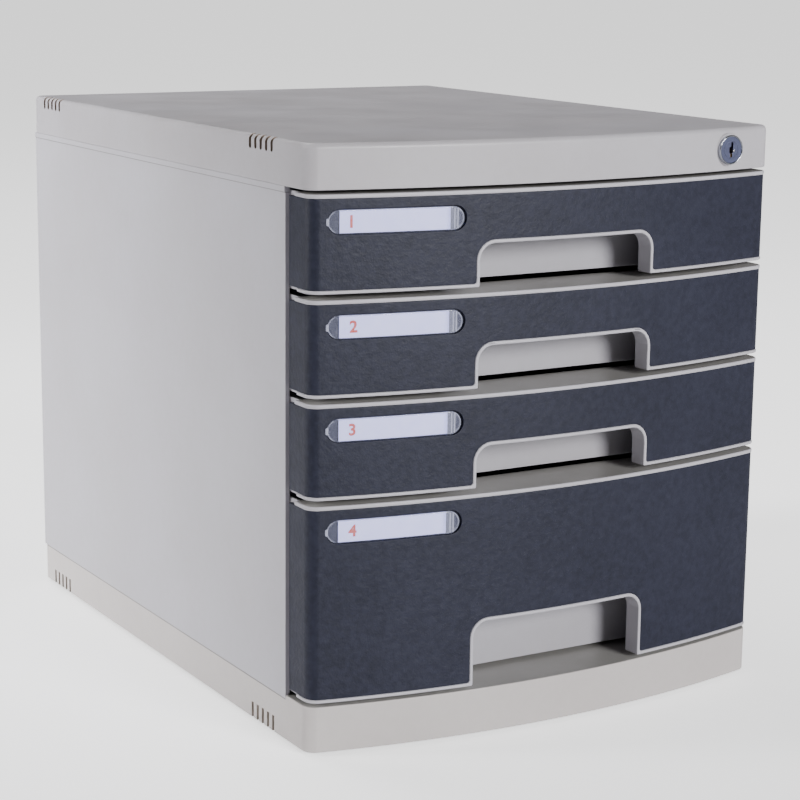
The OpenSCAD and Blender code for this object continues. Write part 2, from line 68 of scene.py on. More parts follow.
def link(name, data):
    # new object at the origin, in the scene
    thing = bpy.data.objects.new(name, data)
    bpy.context.scene.collection.objects.link(thing)
    return thing


# camera at the photo's viewing angle, from a fit to the measured edges
cameraView = {
    "place": (-0.6698, -1.1636, 0.4296),
    "yaw": 30.37,  # from +Y towards +X
    "pitch": 11.81,  # down
    "roll": 0.62,
    "lens": 97.947,
    "sensor": 36.0,
}


def makeCamera(view):
    # forward from yaw and pitch, right level with the floor, then both turned by the roll
    yaw = math.radians(view["yaw"])
    pitch = math.radians(view["pitch"])
    roll = math.radians(view["roll"])
    forward = Vector((math.sin(yaw) * math.cos(pitch), math.cos(yaw) * math.cos(pitch), -math.sin(pitch)))
    right = Vector((math.cos(yaw), -math.sin(yaw), 0))
    up = right.cross(forward)
    rolledRight = right * math.cos(roll) + up * math.sin(roll)
    rolledUp = up * math.cos(roll) - right * math.sin(roll)
    turn = Matrix((rolledRight, rolledUp, -forward)).transposed()
    data = bpy.data.cameras.new("camera")
    data.lens = view["lens"]
    data.sensor_width = view["sensor"]
    data.clip_end = 200
    camera = link("camera", data)
    camera.matrix_world = Matrix.Translation(view["place"]) @ turn.to_4x4()
    bpy.context.scene.camera = camera


makeCamera(cameraView)
print("camera placed")


class Wire:
    # an output socket that can stand in a Python expression
    def __init__(self, finish, socket):
        self.finish = finish
        self.socket = socket

    def __add__(self, other):
        return self.finish.maths("ADD", self, other)

    def __mul__(self, other):
        return self.finish.maths("MULTIPLY", self, other)

    __radd__ = __add__
    __rmul__ = __mul__


class Finish:
    # one material; node() adds any node to it: its settings first, then its values and links
    def __init__(self, name):
        self.material = bpy.data.materials.new(name)
        self.material.use_nodes = True
        self.tree = self.material.node_tree
        self.tree.nodes.clear()

    def node(self, kind, settings=None, inputs=None, output=0):
        made = self.tree.nodes.new(kind)
        for key, value in (settings or {}).items():
            setattr(made, key, value)
        for key, value in (inputs or {}).items():
            if isinstance(value, Wire):
                self.tree.links.new(value.socket, made.inputs[key])
            else:
                made.inputs[key].default_value = value
        return Wire(self, made.outputs[output]) if made.outputs else made

    def maths(self, operation, *inputs):
        # one number from two or three, as links or plain numbers
        return self.node("ShaderNodeMath", {"operation": operation}, dict(enumerate(inputs)))

    def place(self):
        # the point on the object, in metres
        return self.node("ShaderNodeTexCoord", output="Object")

    def noise(self, size, detail=2.0, roughness=0.5, stretch=(1, 1, 1)):
        # noise whose cells measure about size metres, drawn out by stretch
        scaled = self.node("ShaderNodeMapping", {}, {"Vector": self.place(), "Scale": stretch})
        return self.node(
            "ShaderNodeTexNoise", {},
            {"Vector": scaled, "Scale": 1 / size, "Detail": detail, "Roughness": roughness},
        )

    def cells(self, size, feature="F1"):
        # distance to the nearest of scattered points that lie about size metres apart
        return self.node(
            "ShaderNodeTexVoronoi", {"feature": feature}, {"Vector": self.place(), "Scale": 1 / size}
        )

    def ramp(self, value, low, high, floor=0.0, ceiling=1.0):
        # straight ramp from floor to ceiling as the value goes from low to high
        return self.node(
            "ShaderNodeMapRange", {"clamp": True},
            {"Value": value, "From Min": low, "From Max": high, "To Min": floor, "To Max": ceiling},
        )

    def blend(self, factor, first, second):
        # first colour at factor 0, second at 1
        return self.node(
            "ShaderNodeMix", {"data_type": "RGBA"}, {0: factor, 6: first, 7: second}, output=2
        )

    def bump(self, height, distance, strength, normal=None):
        # normal tilted by the slope of height times distance, on top of another normal if there is one
        inputs = {"Height": height, "Distance": distance, "Strength": strength}
        if normal:
            inputs["Normal"] = normal
        return self.node("ShaderNodeBump", {}, inputs)

    def surface(self, inputs):
        # closes the material with one shader
        shader = self.node("ShaderNodeBsdfPrincipled", {}, inputs)
        self.node("ShaderNodeOutputMaterial", {}, {"Surface": shader})
        return self.material


def tone(red, green, blue, lift=1.0):
    # screen colour 0-255 to a linear colour, brightened by lift
    channels = np.array([red, green, blue]) / 255
    linear = np.where(channels <= 0.04045, channels / 12.92, ((channels + 0.055) / 1.055) ** 2.4)
    return (*(linear * lift).tolist(), 1.0)


# finishes: screen colours of the plain and of the drifting tone, and the size of the grain
lightPlastic = {
    "colour": (195, 193, 201), "shade": (188, 185, 191), "roughness": 0.42, "grain": 0.45 * mm,
    "shadowLineHalf": 0.3 * mm,  # half height of the painted shadow line, drawn where its height is given
    "shadowLineTone": (96, 93, 90),
    "shadowLineShare": 0.6,
}
lidPlastic = dict(
    lightPlastic, colour=(190, 187, 193), shade=(182, 178, 182), roughness=0.4, grain=0.5 * mm
)
# lighter and warmer copy of the shell plastic: painted bounce light from the floor on the base, and a
# painted shadow line under the panels
basePaintedLightPlastic = dict(
    lightPlastic, colour=(210, 204, 202), shade=(202, 195, 193),
    shadowLineHeight=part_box("left_side_panel")[0].z - 0.3 * mm, shadowLineHalf=0.4 * mm,
)
# painted shadow line on the panels, below their top rim
panelPlastic = dict(lightPlastic, shadowLineHeight=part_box("lid")[0].z - 3.2 * mm)
# darker copy of the shell plastic for the ledges' tops: painted shade where they lie under the drawer or
# cover above
ledgePaintedShade = dict(lightPlastic, colour=(163, 161, 158), shade=(154, 152, 148))
# darker copy of the shell plastic for the trays: painted shade for the recess behind each notch
trayPaintedShade = dict(lightPlastic, colour=(178, 176, 183), shade=(171, 168, 174))
# dark brown for the walls inside the slots: painted shade deep in the slots; the paler one paints the
# lighter shade in the base's slots
ventPaintedShade = dict(lightPlastic, colour=(150, 134, 120), shade=(132, 118, 105), roughness=0.7)
paleVentPaintedShade = dict(ventPaintedShade, colour=(190, 180, 170), shade=(176, 166, 156))


def makeLightPlastic(name, values):
    # spark-eroded mould grain, a slow tone drift and rubbed patches that are a little glossier, and a
    # painted shadow line where its height is given
    finish = Finish(name)
    drift = finish.ramp(finish.noise(90 * mm, 3.0), 0.35, 0.65)
    mottle = finish.ramp(finish.noise(5 * mm, 3.0), 0.3, 0.7)
    tint = drift * 0.7 + mottle * 0.3
    colour = finish.blend(tint, tone(*values["colour"]), tone(*values["shade"]))
    if "shadowLineHeight" in values:
        # painted shadow line behind the panels' front edge, where the height is within shadowLineHalf of
        # shadowLineHeight
        height = finish.node("ShaderNodeSeparateXYZ", {}, {0: finish.place()}, output="Z")
        reach = finish.node("ShaderNodeSeparateXYZ", {}, {0: finish.place()}, output="Y")
        level = finish.maths("COMPARE", height, values["shadowLineHeight"], values["shadowLineHalf"])
        behind = finish.maths("GREATER_THAN", reach, panelY - 0.1 * mm)
        colour = finish.blend(level * behind * values["shadowLineShare"], colour, tone(*values["shadowLineTone"]))
    rub = finish.ramp(finish.noise(35 * mm, 4.0), 0.35, 0.7, -0.05, 0.06)
    grain = finish.noise(values["grain"], 2.0, 0.6)
    pits = finish.cells(values["grain"] * 1.6)
    fine = finish.bump(grain + pits * 0.5, 0.035 * mm, 0.55)
    wave = finish.bump(finish.noise(60 * mm, 1.0), 0.25 * mm, 0.3, fine)
    return finish.surface({
        "Base Color": colour, "Roughness": rub + values["roughness"], "Normal": wave,
        "IOR": 1.49, "Specular IOR Level": 0.45,
    })


slatePlastic = {"colour": (43, 45, 61), "shade": (31, 33, 47), "roughness": 0.48, "cell": 2.8 * mm}


def makeSlatePlastic(name, values):
    # leather-like mould grain: soft cells of two sizes with creases between them, over a fine sparkle
    finish = Finish(name)
    creases = finish.cells(values["cell"], "SMOOTH_F1")
    small = finish.cells(values["cell"] * 0.45)
    fine = finish.noise(0.4 * mm, 2.0, 0.6)
    mottle = finish.ramp(finish.noise(4 * mm, 3.0, 0.6), 0.35, 0.65)
    drift = finish.ramp(finish.noise(60 * mm, 2.0), 0.35, 0.65)
    tint = mottle * 0.7 + drift * 0.3
    colour = finish.blend(tint, tone(*values["colour"]), tone(*values["shade"]))
    height = creases * 0.6 + small * 0.3 + fine * 0.25
    normal = finish.bump(height, 0.25 * mm, 0.9)
    shine = finish.ramp(finish.noise(14 * mm, 4.0, 0.6), 0.3, 0.7, -0.03, 0.05)
    return finish.surface({
        "Base Color": colour, "Roughness": shine + values["roughness"], "Normal": normal,
        "IOR": 1.5, "Specular IOR Level": 0.28,
    })


paper = {
    "colour": (216, 218, 255), "shade": (210, 212, 252),
    "paintedGlow": (172, 176, 255), "paintedGlowShade": (166, 170, 252), "paintedGlowStrength": 0.6,
}
ink = {"colour": (206, 70, 62), "thin": (236, 214, 218)}
clearPlastic = {
    # rim: pale colour of the milky parts and of the painted edge highlights
    "colour": (190, 195, 232), "rim": (236, 238, 250),
    "body": 0.012,  # opacity where there is neither rim nor scuff
}
rubber = {"colour": (34, 34, 35), "bloom": (58, 57, 57)}


def makePaper(name, values):
    # smooth card stock: short fibres, a faint cloudiness and a painted bluish glow that stands in for its
    # brightener; the card gives off this light under any lamp
    finish = Finish(name)
    cloud = finish.ramp(finish.noise(6 * mm, 4.0), 0.3, 0.7)
    fibre = finish.noise(0.5 * mm, 3.0, 0.6, (1, 1, 3))
    colour = finish.blend(cloud, tone(*values["colour"]), tone(*values["shade"]))
    return finish.surface({
        "Base Color": colour, "Roughness": finish.ramp(fibre, 0.3, 0.7, 0.6, 0.75),
        "Normal": finish.bump(fibre, 0.02 * mm, 0.4),
        # painted glow: the card shines by itself
        "Emission Color": finish.blend(cloud, tone(*values["paintedGlow"]), tone(*values["paintedGlowShade"])),
        "Emission Strength": values["paintedGlowStrength"],
    })


def makeInk(name, values):
    # printed film with slightly uneven coverage
    finish = Finish(name)
    thin = finish.ramp(finish.noise(0.9 * mm, 3.0), 0.35, 0.75)
    colour = finish.blend(thin * 0.35, tone(*values["colour"]), tone(*values["thin"]))
    return finish.surface({"Base Color": colour, "Roughness": finish.ramp(thin, 0, 1, 0.45, 0.6)})


def makeClearPlastic(name, values):
    # clear cover: see-through on its flat, milky and pale where the piece's rim attribute is high, which
    # also paints highlights on its edges, faint scuffs
    finish = Finish(name)
    rim = finish.node("ShaderNodeAttribute", {"attribute_name": "rim"}, output="Fac")
    scuff = finish.ramp(finish.noise(3 * mm, 4.0, 0.6, (1, 1, 4)), 0.45, 0.8, 0.0, 0.1)
    alpha = finish.ramp(rim * 0.8 + scuff * 0.15 + values["body"], 0, 1)
    colour = finish.blend(rim, tone(*values["colour"]), tone(*values["rim"]))
    return finish.surface({
        "Base Color": colour, "Alpha": alpha, "Roughness": scuff + 0.06, "IOR": 1.49,
        "Normal": finish.bump(finish.noise(8 * mm, 1.0), 0.05 * mm, 0.3),
    })


def makeMetal(name, colour, shade, roughness, grain, stretch=(1, 1, 1), depth=0.02 * mm):
    # plated metal: fine lay of the tool, cloudy plating, scattered dull spots
    finish = Finish(name)
    cloud = finish.ramp(finish.noise(3 * mm, 4.0), 0.3, 0.7)
    lay = finish.noise(grain, 3.0, 0.6, stretch)
    rough = finish.ramp(cloud, 0, 1, roughness * 0.8, roughness * 1.25)
    return finish.surface({
        "Base Color": finish.blend(cloud, tone(*colour), tone(*shade)), "Metallic": 1.0,
        "Roughness": rough, "Normal": finish.bump(lay, depth, 0.5),
    })


def makeRubber(name, values):
    # matt black rubber with a fine bloom
    finish = Finish(name)
    bloom = finish.ramp(finish.noise(2.5 * mm, 4.0), 0.35, 0.75)
    return finish.surface({
        "Base Color": finish.blend(bloom, tone(*values["colour"]), tone(*values["bloom"])),
        "Roughness": finish.ramp(bloom, 0, 1, 0.6, 0.85),
        "Normal": finish.bump(finish.noise(0.35 * mm, 2.0), 0.04 * mm, 0.6),
    })


finishes = {
    "shell": makeLightPlastic("lightPlastic", lightPlastic),
    "lid": makeLightPlastic("lidPlastic", lidPlastic),
    "panel": makeLightPlastic("panelPlastic", panelPlastic),
    "base": makeLightPlastic("basePaintedLightPlastic", basePaintedLightPlastic),
    "paintedSlotShade": makeLightPlastic("paintedSlotShadeFinish", ventPaintedShade),
    "palePaintedSlotShade": makeLightPlastic("palePaintedSlotShadeFinish", paleVentPaintedShade),
    "ledge": makeLightPlastic("ledgePaintedShade", ledgePaintedShade),
    "tray": makeLightPlastic("trayPaintedShade", trayPaintedShade),
    "slate": makeSlatePlastic("slatePlastic", slatePlastic),
    "paper": makePaper("labelPaper", paper),
    "redInk": makeInk("redInk", ink),
    "clear": makeClearPlastic("clearPlastic", clearPlastic),
    "chrome": makeMetal("brightChrome", (178, 181, 190), (150, 153, 163), 0.16, 0.3 * mm),
    "lockFace": makeMetal("lockFace", (102, 106, 132), (88, 92, 117), 0.36, 0.25 * mm, (1, 1, 6)),
    "brass": makeMetal("brass", (214, 176, 104), (186, 146, 82), 0.25, 0.2 * mm),
    "steel": makeMetal("zincPlate", (186, 189, 193), (165, 168, 172), 0.32, 0.4 * mm, (1, 6, 1)),
    "rubber": makeRubber("footRubber", rubber),
}
print("finishes made:", len(finishes))


def roundedLoop(corners, steps=6):
    # closed outline through (u, v, radius) corners; each radius is an arc tangent to both its sides
    places = np.array([corner[:2] for corner in corners], float)
    points = []
    for i, (here, radius) in enumerate(zip(places, [corner[2] for corner in corners])):
        if radius <= 0:
            points.append(here[None])
            continue
        before = places[i - 1] - here
        after = places[(i + 1) % len(places)] - here
        before /= np.linalg.norm(before)
        after /= np.linalg.norm(after)
        half = math.acos(np.clip(before @ after, -1, 1)) / 2
        centre = here + (before + after) / np.linalg.norm(before + after) * radius / math.sin(half)
        start = here + before * radius / math.tan(half) - centre
        end = here + after * radius / math.tan(half) - centre
        sweep = math.pi - 2 * half
        count = max(2, int(steps * sweep / (math.pi / 2)) + 1)
        t = np.linspace(0, 1, count)[:, None]
        points.append(centre + (np.sin((1 - t) * sweep) * start + np.sin(t * sweep) * end) / math.sin(sweep))
    return np.concatenate(points)


def stadiumLoop(middle, length, height, steps=14):
    # two half circles joined by straight lines, counterclockwise
    radius = height / 2
    run = length / 2 - radius
    turn = np.linspace(-math.pi / 2, math.pi / 2, steps + 1)
    right = np.stack([run + radius * np.cos(turn), radius * np.sin(turn)], 1)
    return np.concatenate([right, -right]) + np.array(middle)


def circleLoop(middle, radius, count=48):
    # radius times cosine and sine of even steps round the middle
    turn = np.arange(count) / count * 2 * math.pi
    return np.stack([np.cos(turn), np.sin(turn)], 1) * radius + np.array(middle)


def split(loop, levels, axis):
    # adds a point wherever the outline crosses a level of u (axis 0) or v (axis 1)
    after = np.roll(loop, -1, axis=0)
    step = after[:, axis] - loop[:, axis]
    length = np.maximum(np.linalg.norm(after - loop, axis=1), 1e-12)
    share = (levels[:, None] - loop[:, axis]) / np.where(np.abs(step) < 1e-9, 1e-9, step)
    clear = 0.3 * mm / length
    hit = (share > clear) & (share < 1 - clear)
    edge = np.broadcast_to(np.arange(len(loop)), hit.shape)[hit]
    at = np.sort(np.concatenate([np.arange(len(loop)), edge + share[hit]]))
    index = np.minimum(at.astype(int), len(loop) - 1)
    return loop[index] + (after[index] - loop[index]) * (at - index)[:, None]


def inset(loop, distance):
    # each point moves into the material along the mitre of its two sides' normals
    along = np.roll(loop, -1, axis=0) - loop
    along /= np.linalg.norm(along, axis=1)[:, None]
    normal = np.stack([along[:, 1], -along[:, 0]], 1)
    previous = np.roll(normal, 1, axis=0)
    mitre = (normal + previous) / (1 + np.sum(normal * previous, 1))[:, None]
    return loop - mitre * distance


def insideLoops(points, loops):
    # even-odd test of many points against closed outlines
    inside = np.zeros(len(points), bool)
    for loop in loops:
        after = np.roll(loop, -1, axis=0)
        v = points[:, 1][:, None]
        crosses = (loop[:, 1] > v) != (after[:, 1] > v)
        rise = np.where(loop[:, 1] == after[:, 1], 1, after[:, 1] - loop[:, 1])
        u = loop[:, 0] + (v - loop[:, 1]) * (after[:, 0] - loop[:, 0]) / rise
        inside ^= np.sum(crosses & (points[:, 0][:, None] < u), 1) % 2 == 1
    return inside


def fill(loops, inner):
    # constrained Delaunay triangles between the outlines, through the inner points, as rows of indices
    points = np.concatenate(loops + [inner]) / mm
    starts = np.cumsum([0] + [len(loop) for loop in loops])
    edges = [
        np.stack([np.arange(len(loop)), (np.arange(len(loop)) + 1) % len(loop)], 1) + start
        for loop, start in zip(loops, starts)
    ]
    made = delaunay_2d_cdt(points.tolist(), np.concatenate(edges).tolist(), [], 0, 1e-5)
    corners = np.array(made[0])
    triangles = np.array(made[2])
    sources = np.cumsum([0] + list(map(len, made[3])))[:-1]  # each corner's first source point
    first = np.concatenate(made[3])[sources]
    kept = insideLoops(corners[triangles].mean(1), [loop / mm for loop in loops])
    return first[triangles[kept]]


def innerPoints(loops, columns, rows):
    # grid of columns and rows, kept inside the outlines and clear of their points
    u, v = np.meshgrid(columns, rows)
    grid = np.stack([u.ravel(), v.ravel()], 1)
    grid = grid[insideLoops(grid, loops)]
    gap = np.sum((grid[:, None] - np.concatenate(loops)) ** 2, 2).min(1)
    return grid[gap > (0.6 * mm) ** 2]


def onPlan(u, v, height):
    # flat, seen from above: u along X, v along Y
    return np.stack([u, v, np.full_like(u, height)], 1)


def onSide(u, v, x):
    # flat, seen from the side: u along Y, v along Z
    return np.stack([np.full_like(u, x), u, v], 1)


def onFace(u, v, y):
    # flat, seen from the front: u along X, v along Z
    return np.stack([u, np.full_like(u, y), v], 1)


sideHalf = halfWidth - cabinet["frontInset"]
cornerX = sideHalf - cabinet["cornerRadius"]
cornerY = arcY - math.sqrt((arcRadius - cabinet["cornerRadius"]) ** 2 - cornerX**2)
cornerTurn = math.asin(cornerX / (arcRadius - cabinet["cornerRadius"]))
arcEnd = arcRadius * cornerTurn
cornerEnd = arcEnd + cabinet["cornerRadius"] * (math.pi / 2 - cornerTurn)


def onFront(u, v, depth):
    # u runs along the front from its middle: the big arc, the corner arc, then straight back;
    # the point then goes in by the depth, square to the surface
    radius = cabinet["cornerRadius"]
    reach = np.abs(u)
    sign = np.where(u < 0, -1.0, 1.0)
    arc = reach / arcRadius
    corner = cornerTurn + (reach - arcEnd) / radius
    onArc = reach < arcEnd
    x = np.where(onArc, arcRadius * np.sin(arc), cornerX + radius * np.sin(corner))
    y = np.where(onArc, arcY - arcRadius * np.cos(arc), cornerY - radius * np.cos(corner))
    turn = np.where(onArc, arc, np.minimum(corner, math.pi / 2))
    x = np.where(reach > cornerEnd, sideHalf, x)
    y = np.where(reach > cornerEnd, cornerY + reach - cornerEnd, y)
    return np.stack([sign * (x - depth * np.sin(turn)), y + depth * np.cos(turn), v], 1)


def alongFront(x):
    # distance along the front arc of the point at x
    return arcRadius * np.arcsin(x / arcRadius)


def endAt(y):
    # distance along the front of the point on the straight side at y
    return cornerEnd + y - cornerY


# what follows the front is divided here: on the arc, on both corners and once behind each
cornerColumns = np.linspace(arcEnd, cornerEnd, 13)[1:]
lastColumn = cornerEnd + 4 * mm
frontColumns = np.concatenate([
    np.linspace(-arcEnd, arcEnd, 97), cornerColumns, -cornerColumns, [lastColumn, -lastColumn]
])


def planOutline(sideIn, arcIn, back, radius, rearRadius):
    # front arc, two corners tangent to it and to the sides, straight sides and small rear corners
    half = halfWidth - sideIn
    big = arcRadius - arcIn
    x = half - radius
    y = arcY - math.sqrt((big - radius) ** 2 - x**2)
    end = math.asin(x / (big - radius))
    arc = np.linspace(-end, end, 91)
    turn = np.linspace(end, math.pi / 2, 13)[1:]
    front = np.stack([big * np.sin(arc), arcY - big * np.cos(arc)], 1)
    corner = np.stack([x + radius * np.sin(turn), y - radius * np.cos(turn)], 1)
    rear = np.array([[half, back]])
    if rearRadius > 0:
        turn = np.linspace(0, math.pi / 2, 7)
        rear = np.stack([half - rearRadius + rearRadius * np.cos(turn),
                         back - rearRadius + rearRadius * np.sin(turn)], 1)
    right = np.concatenate([corner, rear])
    left = right[::-1] * np.array([-1, 1])
    return np.concatenate([front, right, left])


def arcRows(middle, radii, start, end, steps):
    # rows of two: the middle plus each radius times the cosine or the sine of even turns
    turn = np.linspace(start, end, steps + 1)
    return (np.array(middle) + np.array(radii) * np.stack([np.cos(turn), np.sin(turn)], 1)).tolist()


def quarter(width, height, steps, outwards=True):
    # (inset, height) rows on a quarter circle: up out of a cap at that height, or back in to one
    if outwards:
        return arcRows((width, height + width), (width, width), math.pi * 1.5, math.pi, steps)
    return arcRows((width, height - width), (width, width), math.pi, math.pi / 2, steps)


def shell(loops, rings, surface, columns=(), rows=()):
    # the outlines, set in and lifted ring by ring, closed by a filled cap at each end;
    # a part is its points and its faces, as arrays of quads and of triangles
    columns = np.asarray(columns, float)
    rows = np.asarray(rows, float)
    for axis, levels in enumerate((columns, rows)):
        if len(levels):
            loops = [split(loop, levels, axis) for loop in loops]
    starts = np.cumsum([0] + [len(loop) for loop in loops])
    count = starts[-1]
    points = []
    for distance, height in rings:
        flat = np.concatenate([inset(loop, distance) for loop in loops])
        points.append(surface(flat[:, 0], flat[:, 1], height))
    faces = []
    for loop, start in zip(loops, starts):
        here = np.arange(len(loop)) + start
        after = np.roll(here, -1)
        for ring in range(len(rings) - 1):
            faces.append(np.stack([here, after, after + count, here + count], 1) + ring * count)
    extra = count * len(rings)
    for ring in (0, len(rings) - 1):
        distance, height = rings[ring]
        capLoops = [inset(loop, distance) for loop in loops]
        inner = innerPoints(capLoops, columns, rows)
        triangles = fill(capLoops, inner)
        faces.append(np.where(triangles < count, triangles + ring * count, triangles - count + extra))
        points.append(surface(inner[:, 0], inner[:, 1], height))
        extra += len(inner)
    return np.concatenate(points), faces


def lathe(profile, count=48, closed=False):
    # (radius, height) rows turned round +Z; a closed profile makes a ring, an open one ends on the axis
    profile = np.array(profile, float)
    turn = np.arange(count) / count * 2 * math.pi
    ring = np.stack([np.cos(turn), np.sin(turn)], 1)
    points = np.concatenate([
        (profile[:, 0][:, None, None] * ring[None]).reshape(-1, 2),
        np.repeat(profile[:, 1], count)[:, None],
    ], 1)
    rows = len(profile) if closed else len(profile) - 1
    low = np.repeat(np.arange(rows), count)
    high = (low + 1) % len(profile)
    here = np.tile(np.arange(count), rows)
    after = (here + 1) % count
    faces = np.stack([low * count + here, low * count + after, high * count + after, high * count + here], 1)
    return points, [faces]


def bossPart(bore, radius, height, chamfer=0.0, count=24):
    # tube from its mouth at the origin to the height, which may be below it
    mouth = [(radius - chamfer, 0), (radius, math.copysign(chamfer, height))] if chamfer else [(radius, 0)]
    return lathe([(bore, 0)] + mouth + [(radius, height), (bore, height)], count, True)


def boxPart(low, high):
    # block between two corners
    loop = np.array([(low[0], low[1]), (high[0], low[1]), (high[0], high[1]), (low[0], high[1])])
    return shell([loop], [(0, low[2]), (0, high[2])], onPlan)


def move(part, turn=None, shift=(0, 0, 0)):
    # the part's points turned by a matrix, then shifted
    points, faces = part
    if turn is not None:
        points = points @ np.array(turn).T
    return points + np.array(shift), faces


faceFront = ((1, 0, 0), (0, 0, -1), (0, 1, 0))  # a lathe's +Z turned to -Y


def faceCount(parts):
    # rows in all the face arrays of the parts
    return sum(len(block) for part in parts for block in part[1])


def makeObject(name, parts):
    # all parts in one mesh; doubles merged, faces turned outwards
    offset = 0
    faces = []
    for points, blocks in parts:
        for block in blocks:
            faces += (block + offset).tolist()
        offset += len(points)
    mesh = bpy.data.meshes.new(name)
    mesh.from_pydata(np.concatenate([points for points, blocks in parts]).tolist(), [], faces)
    grid = bmesh.new()
    grid.from_mesh(mesh)
    bmesh.ops.remove_doubles(grid, verts=grid.verts, dist=1e-7)
    bmesh.ops.dissolve_degenerate(grid, edges=grid.edges, dist=1e-8)
    bmesh.ops.recalc_face_normals(grid, faces=grid.faces)
    grid.to_mesh(mesh)
    grid.free()
    return link(name, mesh)


def rowsOf(items, name):
    # a vector of every vertex or face, one row each
    rows = np.zeros(len(items) * 3)
    items.foreach_get(name, rows)
    return rows.reshape(-1, 3)


def meshPart(mesh):
    # a finished mesh as a part, its faces in one array for each number of corners
    starts = np.zeros(len(mesh.polygons), np.int32)
    sizes = np.zeros(len(mesh.polygons), np.int32)
    corners = np.zeros(len(mesh.loops), np.int32)
    mesh.polygons.foreach_get("loop_start", starts)
    mesh.polygons.foreach_get("loop_total", sizes)
    mesh.loops.foreach_get("vertex_index", corners)
    faces = [corners[starts[sizes == size][:, None] + np.arange(size)] for size in np.unique(sizes)]
    return rowsOf(mesh.vertices, "co"), faces


def joinInto(thing, other):
    # other's mesh is added to thing's, and other goes
    grid = bmesh.new()
    grid.from_mesh(thing.data)
    grid.from_mesh(other.data)
    grid.to_mesh(thing.data)
    grid.free()
    bpy.data.objects.remove(other)


def combine(thing, tool, operation, solver="MANIFOLD"):
    # the boolean is worked out and becomes the mesh; the tool object goes
    modifier = thing.modifiers.new("cut", "BOOLEAN")
    modifier.operation = operation
    modifier.solver = solver
    modifier.object = tool
    result = bpy.data.meshes.new_from_object(thing.evaluated_get(bpy.context.evaluated_depsgraph_get()))
    result.materials.clear()
    thing.modifiers.clear()
    thing.data = result
    bpy.data.objects.remove(tool)


def dress(thing, looks, index):
    # several finishes on one piece; index says which one each face takes
    for look in looks:
        thing.data.materials.append(finishes[look])
    thing.data.polygons.foreach_set("material_index", index.astype(np.int32))


def finishPiece(thing, look, body, node, sharpAngle=35):
    # smooth shading with sharp edges kept, its material if it has none yet, the body that carries it, and
    # the CAD node it stands for hidden
    mesh = thing.data
    mesh.shade_smooth()
    mesh.set_sharp_from_angle(angle=math.radians(sharpAngle))
    if not mesh.materials:
        mesh.materials.append(finishes[look])
    modifier = thing.modifiers.new("weightedNormals", "WEIGHTED_NORMAL")
    modifier.keep_sharp = True
    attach(thing, body)
    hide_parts(node)


def softened(node, name, width, look, body, bevelAngle=38, flatAngle=0.6):
    # merged copy of a CAD solid with small rounded edges, as moulded or pressed
    grid = bmesh.new()
    grid.from_mesh(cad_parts[node].data)
    bmesh.ops.remove_doubles(grid, verts=grid.verts, dist=2e-6)
    bmesh.ops.dissolve_limit(grid, angle_limit=math.radians(flatAngle), verts=grid.verts, edges=grid.edges)
    bmesh.ops.recalc_face_normals(grid, faces=grid.faces)
    mesh = bpy.data.meshes.new(name)
    grid.to_mesh(mesh)
    grid.free()
    thing = link(name, mesh)
    bevel = thing.modifiers.new("softEdges", "BEVEL")
    bevel.width = width
    bevel.segments = 3
    bevel.limit_method = "ANGLE"
    bevel.angle_limit = math.radians(bevelAngle)
    finishPiece(thing, look, body, node)


# screws and feet, which the bosses in the covers and drawer fronts fit
screw = {
    "head": 3.2 * mm,  # radius
    "height": 1.8 * mm,
    "rim": 0.45,  # share of the head's height that is straight
    "shank": 1.6 * mm,
    "point": 1.5 * mm,
    "cross": 3.4 * mm,
    "crossWidth": 0.8 * mm,
    "crossDepth": 1.1 * mm,
    "bore": 1.65 * mm,
    "boss": 3.6 * mm,  # radius of the boss that takes the screw
}
foot = {
    "radius": 8 * mm,
    "round": 0.7 * mm,
    "stud": 2.5 * mm,
    "bevel": 0.4 * mm,  # of the stud's end and of the boss's mouth
    "dimple": 3.6 * mm,
    "dimpleFloor": 3 * mm,
    "dimpleDepth": 0.5 * mm,
    "bore": 2.55 * mm,
    "boss": 10 * mm,
}
screwLow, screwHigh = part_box("lid_screws")
screwX = screwHigh.x - screw["head"]
screwYs = np.linspace(screwLow.y + screw["head"], screwHigh.y - screw["head"], 3)
lockLow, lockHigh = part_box("lock_housing")
lockX = (lockLow.x + lockHigh.x) / 2
lockZ = (lockLow.z + lockHigh.z) / 2


# lid and base covers
lidShape = {
    "edge": 3.0 * mm,  # rounded top edge
    "lip": 0.5 * mm,  # rounding of the open rim
    "root": 0.6 * mm,  # chamfer between roof and inner wall
    "setback": 0.8 * mm,  # front behind the drawers' front arc
    "ribHeight": 4.0 * mm,
    "ribWidth": 1.6 * mm,
    "ribSink": 0.4 * mm,  # how far the ribs reach into the roof
    "ribCount": 3,
    "slotCount": 5,
    "slotPitch": 6.35 * mm,
    "slotWidth": 2.7 * mm,
    "slotHeight": 7.6 * mm,
    "slotDepth": 4.1 * mm,
    "slotFront": 27.4 * mm,  # from the side panels' front edge
    "slotRear": 31.5 * mm,  # from the rear edge
    "bossTop": 2 * mm,  # bosses end this far from the outside
    "bossChamfer": 0.2 * mm,
    "lockSeat": 2 * mm,  # lid's front behind the lock's
    "lockBore": 6.55 * mm,
    "lockBoss": 9.2 * mm,
    "lockBossDepth": 9 * mm,
    "lockChamfer": 0.4 * mm,
    "drillFront": 3 * mm,  # reach of the drill before and behind the lock's front
    "drillBack": 20 * mm,
}
baseShape = dict(
    lidShape, edge=0.5 * mm, slotHeight=9.4 * mm,
    ledgeRound=0.6 * mm,
    ledgeSink=1.5 * mm,  # how far the ledge reaches down into the cover
    ledgeGap=0.3 * mm,  # between ledge and side panels
)
seatY = lockLow.y + lidShape["lockSeat"]


